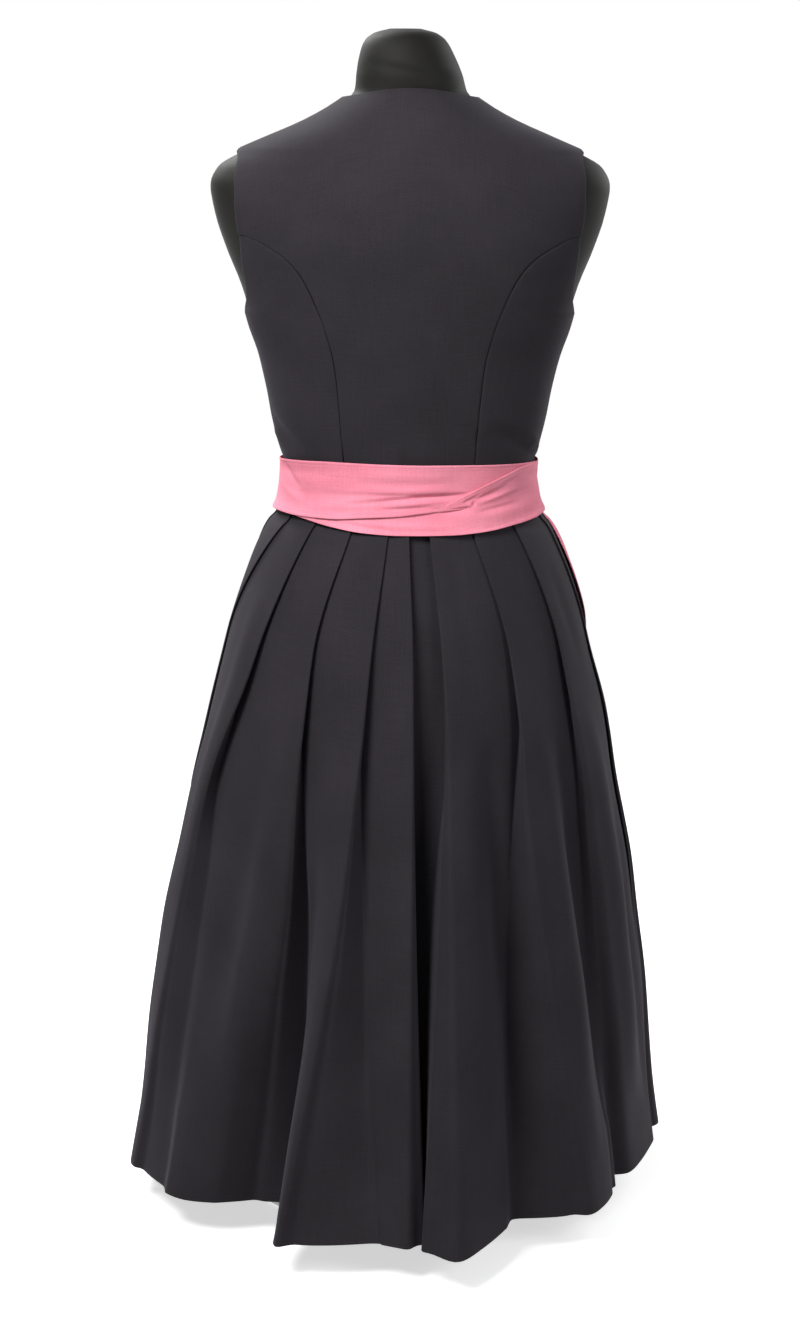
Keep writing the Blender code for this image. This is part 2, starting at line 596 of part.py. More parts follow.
def make_form(jersey, steel):
    heights = np.array([
        TORSO_BOTTOM, 0.500, 0.560, 0.620, 0.680, 0.735, 0.780, 0.830, 0.870, 0.905, 0.945, 0.985,
        1.025, 1.045, 1.060, 1.075, 1.090, 1.105, 1.120, 1.150, 1.166, 1.174, 1.178])
    angle = np.arange(0, 360, 11.25)
    inset = FORM_INSET.column("inset", heights)[:, None]
    rings = figure_point(angle[None, :], heights[:, None], -inset)
    tube_solid("form_torso", rings, jersey)
    turned("form_pole", steel, (
        (0.0, TORSO_BOTTOM - SEAM_GAP), (FLANGE_RADIUS, TORSO_BOTTOM - SEAM_GAP),
        (FLANGE_RADIUS, TORSO_BOTTOM - 0.006), (POLE_RADIUS, TORSO_BOTTOM - 0.012),
        (POLE_RADIUS, BASE_THICKNESS + SEAM_GAP), (0.0, BASE_THICKNESS + SEAM_GAP)))
    turned("form_base", steel, (
        (0.0, BASE_THICKNESS), (BASE_RADIUS - BASE_CHAMFER, BASE_THICKNESS),
        (BASE_RADIUS, BASE_THICKNESS - BASE_CHAMFER), (BASE_RADIUS, 0.0), (0.0, 0.0)), steps=48)


def turned(name, finish, profile, steps=24):
    """A turned solid: the profile runs from the axis at the top, down its outer side, to the axis."""
    mesh_data = bmesh.new()
    corners = [mesh_data.verts.new((radius, 0, height)) for radius, height in profile]
    for upper, lower in zip(corners, corners[1:]):
        mesh_data.edges.new((upper, lower))
    bmesh.ops.spin(
        mesh_data, geom=mesh_data.verts[:] + mesh_data.edges[:], cent=(0, 0, 0), axis=(0, 0, 1),
        angle=2 * np.pi, steps=steps, use_merge=True)
    bmesh.ops.remove_doubles(mesh_data, verts=mesh_data.verts, dist=1e-6)
    bmesh.ops.recalc_face_normals(mesh_data, faces=mesh_data.faces)
    made = add_object(name, mesh_data, finish)
    made.data.set_sharp_from_angle(angle=np.radians(35))
    return made


def bow_points(along, out, height, level=1.0):
    """Points of the bow, which lies round the band: along it from the knot, and out of it."""
    base = band_radius(BOW_ANGLE, np.array(BOW_HEIGHT), level)
    angle = BOW_ANGLE + np.degrees(along / base)
    radius = band_radius(angle, np.full(np.shape(angle), BOW_HEIGHT - 0.014), level) + BOW_ROOM
    return polar(angle, radius + out, height)


def make_bow(satin):
    along, out, half_height = np.moveaxis(LOOP.read(np.linspace(0, 1, 21)), -1, 0)
    share = np.linspace(-1, 1, 4)[:, None]
    for name, side in (("bow_loop_left", -1), ("bow_loop_right", 1)):
        height = BOW_HEIGHT + half_height * share
        points = bow_points(side * along + 0 * share, out + 0 * share, height)
        cloth(name, points, satin)

    knot = bmesh.new()
    bmesh.ops.create_cube(knot, size=2.0)
    bmesh.ops.subdivide_edges(knot, edges=knot.edges[:], cuts=3, use_grid_fill=True)
    for vertex in knot.verts:
        ball = vertex.co.normalized() * KNOT_BALL
        x, y, z = vertex.co.lerp(ball, KNOT_ROUNDNESS)
        along = np.array(x * KNOT_HALF_WIDTH)
        out = np.array(0.5 * KNOT_DEPTH * (1 + y) - BOW_ROOM + KNOT_SEAT)
        vertex.co = bow_points(along, out, BOW_HEIGHT + z * KNOT_HALF_HEIGHT)
    bmesh.ops.recalc_face_normals(knot, faces=knot.faces)
    add_object("bow_knot", knot, satin)

    for name, side, over in (("bow_tail_left", -1, 0.0), ("bow_tail_right", 1, TAIL_PITCH)):
        down = np.array(TAIL_STEPS)[:, None]
        across = np.linspace(-0.5, 0.5, 6)[None, :]
        spread, width, out = (TAIL.column(name, down) for name in ("spread", "width", "out"))
        start = BOW_HEIGHT - TAIL_START
        height = start - down - side * across * TAIL_SLANT * down / TAIL_STEPS[-1]
        lift, wave = (APRON.column(name, height) for name in ("lift", "wave"))
        angle = BOW_ANGLE + side * spread
        angle = angle + np.degrees(across * width / (skirt_radius(angle, height) + lift))
        radius = skirt_radius(angle, height) + lift + wave + out + over
        cloth(name, polar(angle, radius, height), satin)


def main():
    for thing in list(bpy.data.objects):
        bpy.data.objects.remove(thing)
    collection = bpy.data.collections.new("dirndl")
    bpy.context.scene.collection.children.link(collection)
    view = bpy.context.view_layer
    view.active_layer_collection = view.layer_collection.children["dirndl"]
    cotton = material("dark_cotton", CHARCOAL, 0.85)
    satin = material("pink_satin", PINK, 0.40)
    jersey = material("black_jersey", JERSEY, 0.75)
    steel = material("brushed_steel", STEEL, 0.35, 1.0)
    horn = material("dark_horn", HORN, 0.35)
    make_form(jersey, steel)
    make_bodice(cotton)
    make_buttons(horn)
    make_skirt(cotton)
    make_apron(satin)
    make_bow(satin)


main()
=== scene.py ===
# %% [markdown]
# # A dirndl on a dress form
# A dirndl is a fitted bodice, a pleated skirt and an apron whose long ties are wrapped round the waist.
# We see its back. Each piece that a dressmaker would cut is one object here, and each is built in the
# same three moves: work out where the cloth lies from short tables, put a flat grid there, and give the
# grid a thin wall. Lengths are in metres, +Z is up, and the wearer would face -Y.

import bmesh
import bpy
import numpy as np
from mathutils import Matrix, Vector, noise


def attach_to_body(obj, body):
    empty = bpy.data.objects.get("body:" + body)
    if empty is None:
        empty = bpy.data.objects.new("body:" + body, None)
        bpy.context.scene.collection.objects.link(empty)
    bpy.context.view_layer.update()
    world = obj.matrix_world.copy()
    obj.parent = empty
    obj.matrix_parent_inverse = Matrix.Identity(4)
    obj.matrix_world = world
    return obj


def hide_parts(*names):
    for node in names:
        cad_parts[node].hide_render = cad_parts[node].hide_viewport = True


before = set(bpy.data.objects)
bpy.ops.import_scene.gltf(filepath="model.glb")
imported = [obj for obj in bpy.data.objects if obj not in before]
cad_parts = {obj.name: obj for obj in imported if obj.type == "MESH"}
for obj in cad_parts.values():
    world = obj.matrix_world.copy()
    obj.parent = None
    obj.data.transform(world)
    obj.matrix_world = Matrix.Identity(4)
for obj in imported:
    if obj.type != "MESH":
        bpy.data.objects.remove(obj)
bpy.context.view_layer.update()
scene = bpy.context.scene
print("solids in the packed model:", len(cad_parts))

# %% [markdown]
# ## Numbers that follow a curve
# A dressmaker notes a shape as a few measures at a few heights. `Table` keeps such notes under named
# columns and reads between them smoothly. It never swings past the two rows that it lies between, which
# a free spline would do, and which would show as a bump in the cloth.

# %% Tables
class Table:
    """Rows of numbers under named columns, read smoothly and without overshoot between rows."""

    def __init__(self, columns, *rows):
        rows = sorted(rows)
        self.columns = columns.split()[1:]
        self.keys = np.array([row[0] for row in rows], float)
        self.values = np.array([row[1:] for row in rows], float)
        rise = np.diff(self.values, axis=0) / np.diff(self.keys)[:, None]
        before, after = rise[:-1], rise[1:]
        same_way = before * after > 0
        total = np.where(same_way, before + after, 1.0)
        inner = np.where(same_way, 2 * before * after / total, 0.0)
        self.slopes = np.vstack([rise[:1], inner, rise[-1:]])

    def read(self, key):
        """The row's values at each key, with a last axis of columns."""
        key = np.clip(key, self.keys[0], self.keys[-1])
        low = np.clip(np.searchsorted(self.keys, key, side="right") - 1, 0, len(self.keys) - 2)
        span = (self.keys[low + 1] - self.keys[low])[..., None]
        t = (key - self.keys[low])[..., None] / span
        start = (1 + 2 * t) * (1 - t) ** 2 * self.values[low]
        end = t * t * (3 - 2 * t) * self.values[low + 1]
        lean_in = t * (1 - t) ** 2 * span * self.slopes[low]
        lean_out = t * t * (t - 1) * span * self.slopes[low + 1]
        return start + end + lean_in + lean_out

    def column(self, name, key):
        return self.read(np.asarray(key, float))[..., self.columns.index(name)]


def polar(angle, radius, height, middle=0.0):
    """Points round the dress. Angle 0 is centre back, 90 the wearer's left, 180 centre front."""
    turn = np.radians(angle)
    turn, radius, height, middle = np.broadcast_arrays(turn, radius, height, middle)
    return np.stack([radius * np.sin(turn), middle + radius * np.cos(turn), height], axis=-1)


def oval(angle, half_width, back, front, squareness=2.0):
    """Radius of a rounded section whose back and front differ in depth."""
    turn = np.radians(angle)
    depth = np.where(np.cos(turn) > 0, back, front)
    across = (np.abs(np.sin(turn)) / half_width) ** squareness
    along = (np.abs(np.cos(turn)) / depth) ** squareness
    return (across + along) ** (-1 / squareness)


def smooth_step(value, low, high):
    """0 below low, 1 above high, and soft between them."""
    share = np.clip((value - low) / (high - low), 0, 1)
    return share * share * (3 - 2 * share)


# %% [markdown]
# ## Shader sums in plain Python
# A woven look is a sum: threads one way, threads the other way, a few thick ones. In the node editor
# that is a heap of Math nodes. `Signal` wraps a socket so that `weft * 0.5 + warp` adds those nodes
# for us, and `Finish.node` adds every other kind of node.

# %% Signals and finishes
class Signal:
    """A socket that can be used in sums."""

    def __init__(self, finish, socket):
        self.finish = finish
        self.socket = socket

    def maths(self, operation, first, second):
        return self.finish.node("ShaderNodeMath", {0: first, 1: second}, operation=operation)

    def __add__(self, other):
        return self.maths("ADD", self, other)

    def __sub__(self, other):
        return self.maths("SUBTRACT", self, other)

    def __mul__(self, other):
        return self.maths("MULTIPLY", self, other)

    __radd__ = __add__


class Finish:
    """A material with a Principled shader, built up from nodes."""

    def __init__(self, name, **constants):
        self.material = bpy.data.materials.new(name)
        self.material.use_nodes = True
        self.tree = self.material.node_tree
        self.shader = self.tree.nodes["Principled BSDF"]
        for socket, value in constants.items():
            self.shader.inputs[socket.replace("_", " ")].default_value = value

    def feed(self, socket, value):
        if isinstance(value, Signal):
            self.tree.links.new(value.socket, socket)
        else:
            socket.default_value = value

    def node(self, kind, inputs=None, output=0, stops=None, **settings):
        """Adds a node: its settings first, then the value or link of each socket."""
        made = self.tree.nodes.new(kind)
        for name, value in settings.items():
            setattr(made, name, value)
        if stops:
            for index, (place, colour) in enumerate(stops):
                stop = made.color_ramp.elements[index] if index < 2 else made.color_ramp.elements.new(place)
                stop.position = place
                stop.color = colour
        for name, value in (inputs or {}).items():
            self.feed(made.inputs[name], value)
        return Signal(self, made.outputs[output])

    def shade(self, **sockets):
        for name, value in sockets.items():
            self.feed(self.shader.inputs[name.replace("_", " ")], value)

    def blend(self, share, first, second):
        """One colour going over into another."""
        inputs = {"Factor": share, "A": first, "B": second}
        made = self.tree.nodes.new("ShaderNodeMix")
        made.data_type = "RGBA"
        colour_sockets = [socket for socket in made.inputs if socket.enabled]
        for socket in colour_sockets:
            self.feed(socket, inputs[socket.name])
        return Signal(self, next(socket for socket in made.outputs if socket.enabled))

    def noise(self, place, scale, detail=2.0, roughness=0.5):
        return self.node("ShaderNodeTexNoise", {
            "Vector": place, "Scale": scale, "Detail": detail, "Roughness": roughness})

    def stretched(self, place, across, along, offset=0.0):
        """The place on the cloth, scaled apart in its two directions."""
        return self.node("ShaderNodeMapping", {
            "Vector": place, "Scale": (across, along, 1.0), "Location": (offset, offset, 0.0)})


# %% [markdown]
# ## Two woven cloths
# The dress is a dark cotton with a fine plain weave; the apron is pink, smoother and a little slubby.
# Both read the cloth's own UV map, which holds metres along and across the cut piece, so the threads
# run with the grain and bend with the folds. A picture of cloth would do that too, but it would blur
# close up and repeat.

# %% Cloth finishes
def woven(name, thread, dark, light, slub, bump, **constants):
    """A plain weave: thread is its pitch in metres, slub how strongly single threads stand out."""
    finish = Finish(name, **constants)
    place = finish.node("ShaderNodeUVMap", uv_map="cloth")
    split = finish.node("ShaderNodeSeparateXYZ", {0: place})
    across = split
    along = Signal(finish, split.socket.node.outputs[1])
    turns = 2 * np.pi / thread
    warp = finish.node("ShaderNodeMath", {0: across * turns}, operation="SINE")
    weft = finish.node("ShaderNodeMath", {0: along * turns}, operation="SINE")
    weave = warp * weft * 0.5 + 0.5
    warp_slub = finish.noise(finish.stretched(place, 900.0, 28.0), 1.0)
    weft_slub = finish.noise(finish.stretched(place, 28.0, 900.0, 3.0), 1.0)
    grain = finish.noise(place, 650.0, 1.0)
    cloudy = finish.noise(place, 11.0, 3.0)
    threads = (warp_slub + weft_slub) * 0.5
    shade = threads * slub + cloudy * (1.1 - slub) + (weave - 0.5) * 0.10 + (grain - 0.5) * 0.35
    colour = finish.node(
        "ShaderNodeValToRGB", {0: shade}, stops=[(0.30, dark), (0.78, light)])
    relief = weave * 0.45 + threads * 1.2 + grain * 0.5
    normal = finish.node("ShaderNodeBump", {"Strength": bump, "Distance": 0.0004, "Height": relief})
    finish.shade(Base_Color=colour, Normal=normal, Roughness=0.78 + threads * 0.16)
    return finish


cotton = woven(
    "dark_cotton", 0.0007, (0.0145, 0.0124, 0.0155, 1), (0.0310, 0.0268, 0.0325, 1), 0.62, 0.30,
    Specular_IOR_Level=0.18, Sheen_Weight=0.05, Sheen_Roughness=0.45, Sheen_Tint=(0.75, 0.70, 0.85, 1))
satin = woven(
    "pink_satin", 0.0006, (0.80, 0.195, 0.275, 1), (0.96, 0.335, 0.440, 1), 0.55, 0.30,
    Specular_IOR_Level=0.28, Sheen_Weight=0.05, Sheen_Roughness=0.35, Sheen_Tint=(1.0, 0.85, 0.88, 1))
thread_finish = Finish("pink_thread", Roughness=0.55, Base_Color=(0.90, 0.33, 0.44, 1))
twist = thread_finish.node("ShaderNodeTexCoord", output=3)
thread_finish.shade(Base_Color=thread_finish.blend(
    thread_finish.noise(twist, 1800.0), (0.78, 0.24, 0.33, 1), (0.98, 0.42, 0.52, 1)))
print("cloth finishes:", cotton.material.name, satin.material.name)

# %% [markdown]
# ## The form's jersey, steel and horn
# The dress form is covered in black knitted jersey, which is matt with a faint bloom on its rims. Its
# stand is brushed steel. The buttons look like dark horn, with soft streaks.

# %% Other finishes
jersey = Finish("black_jersey", Roughness=0.62, Specular_IOR_Level=0.22, Sheen_Weight=0.08,
                Sheen_Roughness=0.30, Sheen_Tint=(0.85, 0.92, 0.9, 1))
skin = jersey.node("ShaderNodeTexCoord", output=3)
ribs = jersey.node("ShaderNodeTexWave", {
    "Vector": skin, "Scale": 420.0, "Distortion": 1.5, "Detail": 1.0}, bands_direction="X")
wear = jersey.noise(skin, 16.0, 4.0)
jersey.shade(
    Base_Color=jersey.blend(wear, (0.0025, 0.0021, 0.0016, 1), (0.0100, 0.0096, 0.0084, 1)),
    Roughness=0.55 + wear * 0.25,
    Normal=jersey.node("ShaderNodeBump", {
        "Strength": 0.25, "Distance": 0.0003, "Height": ribs + jersey.noise(skin, 900.0)}))

steel = Finish("brushed_steel", Metallic=1.0, Roughness=0.3)
metal = steel.node("ShaderNodeTexCoord", output=3)
brushed = steel.noise(steel.stretched(metal, 30.0, 30.0), 14.0, 4.0)
steel.shade(
    Base_Color=steel.blend(brushed, (0.44, 0.44, 0.45, 1), (0.62, 0.62, 0.63, 1)),
    Roughness=0.24 + brushed * 0.25)

horn = Finish("dark_horn", Roughness=0.35, Coat_Weight=0.25, Coat_Roughness=0.2)
bone = horn.node("ShaderNodeTexCoord", output=3)
streaks = horn.node("ShaderNodeTexWave", {
    "Vector": bone, "Scale": 60.0, "Distortion": 6.0, "Detail": 3.0}, bands_direction="X")
horn.shade(Base_Color=horn.blend(streaks, (0.035, 0.032, 0.036, 1), (0.14, 0.13, 0.14, 1)))

# %% [markdown]
# ## One way to make every cloth
# `bmesh.ops.create_grid` makes the flat cloth. Each of its corners then goes to its place, and a
# Solidify modifier gives the wall. The UV map is the cut piece laid flat, in metres: lengths along the
# rows and columns of the placed grid, from its middle. A cloth simulation could hang the skirt as well,
# but the pressed pleats and the wrapped ties have to lie exactly as a dresser left them.

# %% Making cloth
made_cloth = {}


def attach(piece, slot, *nodes):
    """Puts a finished piece on the model, in place of its CAD nodes."""
    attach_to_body(piece, "root")
    if nodes:
        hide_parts(*nodes)
    return piece


def add_piece(name, mesh_data, finish):
    mesh = bpy.data.meshes.new(name)
    mesh_data.to_mesh(mesh)
    mesh_data.free()
    mesh.materials.append(finish.material)
    mesh.shade_smooth()
    piece = bpy.data.objects.new(name, mesh)
    scene.collection.objects.link(piece)
    return piece


def laid_flat(points):
    """Metres along the rows and up the columns of a grid of points, from its middle column and row."""
    across = np.linalg.norm(np.diff(points, axis=1), axis=2)
    across = np.concatenate([np.zeros((len(points), 1)), np.cumsum(across, axis=1)], axis=1)
    across = across - across[:, points.shape[1] // 2][:, None]
    up = np.linalg.norm(np.diff(points, axis=0), axis=2)
    up = np.concatenate([np.zeros((1, points.shape[1])), np.cumsum(up, axis=0)], axis=0)
    return np.stack([across, up - up[points.shape[0] // 2][None, :]], axis=-1)


def cut_size(points):
    """Width, length and area of the flat cut that a grid of points is made from."""
    across, up = np.diff(points, axis=1), np.diff(points, axis=0)
    width = np.linalg.norm(across, axis=2).sum(axis=1).max()
    length = np.linalg.norm(up, axis=2).sum(axis=0).max()
    area = np.linalg.norm(np.cross(across[:-1], up[:, :-1]), axis=2).sum() / 2
    area = area + np.linalg.norm(np.cross(across[1:], up[:, 1:]), axis=2).sum() / 2
    return float(width), float(length), float(area)


def cloth(name, points, finish, slot, wall=0.0006):
    """A piece of cloth whose wall's middle is the grid of points, rows upwards and columns round."""
    rows, columns = points.shape[:2]
    grid = bmesh.new()
    bmesh.ops.create_grid(grid, x_segments=columns - 1, y_segments=rows - 1, size=0.5)
    bmesh.ops.reverse_faces(grid, faces=grid.faces)
    piece = add_piece(f"{name}_cloth", grid, finish)
    mesh = piece.data
    flat = np.empty(3 * len(mesh.vertices))
    mesh.vertices.foreach_get("co", flat)
    flat = flat.reshape(-1, 3)
    column = np.rint((flat[:, 0] + 0.5) * (columns - 1)).astype(int)
    row = np.rint((flat[:, 1] + 0.5) * (rows - 1)).astype(int)
    mesh.vertices.foreach_set("co", points[row, column].ravel())
    corners = np.empty(len(mesh.loops), int)
    mesh.loops.foreach_get("vertex_index", corners)
    cut = laid_flat(points)[row, column][corners]
    mesh.uv_layers.new(name="cloth").data.foreach_set("uv", cut.ravel())
    mesh.update()
    thick = piece.modifiers.new("wall", "SOLIDIFY")
    thick.thickness = wall
    thick.offset = 0.0
    thick.use_quality_normals = True
    made_cloth[name] = cut_size(points)
    return attach(piece, slot, name)


def creased(points, creases, reach=0.11):
    """Moves the cloth out (ridge) or in (trough) along listed lines.

    A crease runs from one angle and height to another, and fades at its ends. above and below are
    how softly it ends on its two sides, and depth is how far it goes.
    """
    angle = np.degrees(np.arctan2(points[..., 0], points[..., 1]))
    moved = np.zeros(angle.shape)
    for start_angle, start_height, end_angle, end_height, above, below, depth in creases:
        middle = (start_angle + end_angle) / 2
        x = np.radians((angle - middle + 180) % 360 - 180) * reach
        y = points[..., 2]
        x0, x1 = np.radians(start_angle - middle) * reach, np.radians(end_angle - middle) * reach
        length = np.hypot(x1 - x0, end_height - start_height)
        ux, uy = (x1 - x0) / length, (end_height - start_height) / length
        along = ((x - x0) * ux + (y - start_height) * uy) / length
        beside = (y - start_height) * ux - (x - x0) * uy
        beside = beside * np.where(ux >= 0, 1, -1)
        width = np.where(beside > 0, above, below)
        fade = np.sin(np.pi * np.clip(along, 0, 1)) ** 0.7
        moved = moved + depth * fade * np.exp(-((beside / width) ** 2))
    outward = points[..., :2] / np.linalg.norm(points[..., :2], axis=-1, keepdims=True)
    result = points.copy()
    result[..., :2] += outward * moved[..., None]
    return result


def uneven(points, size, depth, seed):
    """Soft unevenness of hung cloth: smooth noise of about that size, the same on every run."""
    shift = Vector((seed * 7.3, seed * 3.1, seed * 5.7))
    flat = points.reshape(-1, 3)
    moved = np.array([noise.noise(Vector(point) / size + shift) for point in flat]) * depth
    outward = flat[:, :2] / np.linalg.norm(flat[:, :2], axis=-1, keepdims=True)
    result = flat.copy()
    result[:, :2] += outward * moved[:, None]
    return result.reshape(points.shape)


# %% [markdown]
# ## The dress form
# A shop's form is a padded shell under jersey: a general figure with no arms, legs or head, only
# rounded caps. Its section at each height is an oval whose back and front differ, so that a short
# table of widths and depths is all it takes. The rings are joined with the same grid as the cloths.

# %% The figure
FIGURE = Table(
    "height half_width back front middle squareness",
    (0.470, 0.156, 0.106, 0.098, 0.000, 2.0),
    (0.500, 0.170, 0.119, 0.108, 0.000, 2.0),
    (0.550, 0.174, 0.125, 0.113, 0.000, 2.0),
    (0.600, 0.164, 0.120, 0.110, 0.000, 2.0),
    (0.655, 0.147, 0.108, 0.101, 0.000, 2.0),
    (0.690, 0.1315, 0.0975, 0.094, 0.000, 2.0),
    (0.712, 0.1260, 0.0935, 0.092, 0.000, 2.0),
    (0.730, 0.1250, 0.0930, 0.092, 0.000, 2.1),
    (0.755, 0.1250, 0.0915, 0.093, 0.000, 2.2),
    (0.770, 0.1295, 0.0920, 0.095, 0.000, 2.2),
    (0.800, 0.1370, 0.0930, 0.099, 0.000, 2.3),
    (0.830, 0.1425, 0.0950, 0.106, 0.000, 2.3),
    (0.860, 0.1495, 0.0970, 0.115, 0.000, 2.3),
    (0.890, 0.1600, 0.1000, 0.121, 0.000, 2.3),
    (0.930, 0.1700, 0.1030, 0.114, 0.000, 2.3),
    (0.965, 0.1840, 0.1040, 0.102, 0.000, 2.3),
    (1.000, 0.1955, 0.1010, 0.090, 0.000, 2.3),
    (1.030, 0.2005, 0.0940, 0.080, 0.000, 2.2),
    (1.045, 0.1950, 0.0880, 0.075, 0.001, 2.1),
    (1.060, 0.1735, 0.0820, 0.071, 0.002, 2.0),
    (1.075, 0.1400, 0.0750, 0.068, 0.002, 2.0),
    (1.090, 0.1050, 0.0660, 0.066, 0.000, 2.0),
    (1.105, 0.0780, 0.0560, 0.065, -0.004, 2.0),
    (1.120, 0.0590, 0.0460, 0.064, -0.009, 2.0),
    (1.150, 0.0490, 0.0410, 0.061, -0.010, 2.0),
    (1.166, 0.0420, 0.0340, 0.054, -0.010, 2.0),
    (1.174, 0.0320, 0.0250, 0.045, -0.010, 2.0),
    (1.178, 0.0170, 0.0110, 0.031, -0.010, 2.0),
)
FORM_INSET = Table(
    "height inset",
    (0.470, 0.0095), (0.735, 0.0095), (0.780, 0.0030), (0.840, 0.0032), (0.890, 0.0050),
    (0.940, 0.0032), (1.020, 0.0035), (1.045, 0.0060), (1.060, 0.0090), (1.075, 0.0080),
    (1.095, 0.0085), (1.110, 0.0070), (1.125, 0.0030), (1.135, 0.0015), (1.180, 0.0015),
)
BUST = dict(height=0.900, angle=144.0, rise=0.019, spread_height=0.052, spread_angle=24.0)


def figure_radius(angle, height):
    """The figure's radius round its own middle, with the bust."""
    half_width, back, front, middle, squareness = np.moveaxis(FIGURE.read(height), -1, 0)
    radius = oval(angle, half_width, back - middle, front + middle, squareness)
    signed = (np.asarray(angle) + 180.0) % 360.0 - 180.0
    away = (np.abs(signed) - BUST["angle"]) / BUST["spread_angle"]
    above = (height - BUST["height"]) / BUST["spread_height"]
    return radius + BUST["rise"] * np.exp(-(away ** 2) - above ** 2)


def figure_point(angle, height, outset=0.0):
    """A point on the figure, moved out by outset."""
    angle, height = np.broadcast_arrays(np.asarray(angle, float), np.asarray(height, float))
    middle = FIGURE.column("middle", height)
    return polar(angle, figure_radius(angle, height) + outset, height, middle)


# %% Torso, pole and base
def closed_rings(name, rings, finish):
    """A closed solid from rings of points: joined round, and filled at both ends."""
    closed = np.concatenate([rings, rings[:, :1]], axis=1)
    rows, columns = closed.shape[:2]
    solid = bmesh.new()
    bmesh.ops.create_grid(solid, x_segments=columns - 1, y_segments=rows - 1, size=0.5)
    for vertex in solid.verts:
        column = round((vertex.co.x + 0.5) * (columns - 1))
        row = round((vertex.co.y + 0.5) * (rows - 1))
        vertex.co = closed[row, column]
    bmesh.ops.remove_doubles(solid, verts=solid.verts, dist=1e-6)
    bmesh.ops.holes_fill(solid, edges=solid.edges)
    bmesh.ops.recalc_face_normals(solid, faces=solid.faces)
    return add_piece(name, solid, finish)


heights = np.concatenate([
    [0.470, 0.4705, 0.472, 0.475, 0.480], np.arange(0.490, 1.020, 0.010),
    np.arange(1.020, 1.166, 0.0035), [1.168, 1.170, 1.172, 1.174, 1.1755, 1.1765, 1.1773, 1.178]])
angle = np.arange(0, 360, 2.5)
inset = FORM_INSET.column("inset", heights)[:, None]
inset = inset + 0.012 * (1 - smooth_step(heights, 0.466, 0.480))[:, None] ** 2
rings = figure_point(angle[None, :], heights[:, None], -inset)
# the jersey cover: a tuck under the neck's top, its gathered edge, and seams down the sides
NECK_TUCKS = (
    (-24, 1.1655, 20, 1.1662, 0.0016, 0.0012, -0.0022),
    (-85, 1.1360, 30, 1.1480, 0.0040, 0.0060, 0.0010),
    (-60, 1.1300, 70, 1.1470, 0.0030, 0.0030, -0.0008),
)
rings = creased(rings, NECK_TUCKS, 0.045)
rings[..., 0] += 0.0055 * smooth_step(rings[..., 2], 1.115, 1.175)    # the neck's top leans a little
torso = attach(closed_rings("torso_cover", rings, jersey), "jersey", "form_torso")


def turned(name, finish, profile, steps=96):
    """A turned solid: a profile of (radius, height) corners, spun round the axis."""
    solid = bmesh.new()
    corners = [solid.verts.new((radius, 0, height)) for radius, height in profile]
    for upper, lower in zip(corners, corners[1:]):
        solid.edges.new((upper, lower))
    bmesh.ops.spin(
        solid, geom=solid.verts[:] + solid.edges[:], cent=(0, 0, 0), axis=(0, 0, 1),
        angle=2 * np.pi, steps=steps, use_merge=True)
    bmesh.ops.remove_doubles(solid, verts=solid.verts, dist=1e-6)
    bmesh.ops.recalc_face_normals(solid, faces=solid.faces)
    piece = add_piece(name, solid, finish)
    piece.data.set_sharp_from_angle(angle=np.radians(35))
    return piece


pole = attach(turned("stand_pole", steel, (
    (0.0, 0.4697), (0.0385, 0.4697), (0.040, 0.4682), (0.040, 0.4655), (0.038, 0.4640),
    (0.0200, 0.4610), (0.0145, 0.4585), (0.0125, 0.4550), (0.0125, 0.060), (0.0155, 0.0585),
    (0.0155, 0.018), (0.0165, 0.0165), (0.0230, 0.0110), (0.0240, 0.0083), (0.0, 0.0083))), "steel",
    "form_pole")
base = attach(turned("stand_base", steel, (
    (0.0, 0.0080), (0.1660, 0.0080), (0.1685, 0.0072), (0.1697, 0.0058), (0.1700, 0.0040),
    (0.1697, 0.0020), (0.1688, 0.0006), (0.1675, 0.0), (0.0, 0.0)), steps=128), "steel", "form_base")
print("form: torso", len(torso.data.polygons), "faces, pole", len(pole.data.polygons))

# %% [markdown]
# ## The bodice
# A dirndl's bodice gets its shape from princess seams: curved seams that run from the armhole over the
# shoulder blade, or over the bust, down to the waist. Between them lie a back, two side backs, two side
# fronts and two fronts. Each panel is cut from the figure's surface between two seam curves. The cloth
# turns inwards in its last millimetre at a seam, which is what makes a seam show as a fine dark line.

# %% Seam and edge curves
SEAM_GAP = 0.0003
BACK_PRINCESS = Table(
    "height angle",
    (0.730, 38.0), (0.800, 38.5), (0.850, 39.5), (0.890, 42.0), (0.920, 46.0),
    (0.945, 50.5), (0.960, 55.0), (0.971, 60.5), (0.978, 65.5), (0.982, 69.5),
)
FRONT_PRINCESS = Table(
    "height angle",
    (0.730, 148.0), (0.800, 146.0), (0.860, 144.0), (0.900, 142.0), (0.930, 136.0),
    (0.950, 127.0), (0.963, 118.0), (0.972, 111.0),
)
BACK_ARMHOLE = Table(
    "height angle",
    (0.903, 90.0), (0.908, 83.0), (0.920, 77.5), (0.947, 74.0), (0.982, 71.0), (1.020, 71.5),
    (1.045, 75.0), (1.055, 79.0), (1.0640, 90.0),
)
FRONT_ARMHOLE = Table(
    "height angle",
    (0.903, 90.0), (0.908, 98.0), (0.920, 103.0), (0.947, 106.5), (0.972, 109.0), (1.020, 109.0),
    (1.045, 106.0), (1.055, 101.0), (1.0640, 90.0),
)
FRONT_NECKLINE = Table(
    "height angle",
    (0.985, 179.0), (0.9865, 168.0), (0.992, 157.0), (1.005, 147.0), (1.030, 139.0),
    (1.055, 134.0), (1.080, 127.0), (1.098, 114.0), (1.110, 94.0),
)
NECK_SIDE, NAPE, FRONT_NECK, UNDERARM = 1.1125, 1.1215, 0.985, 0.903
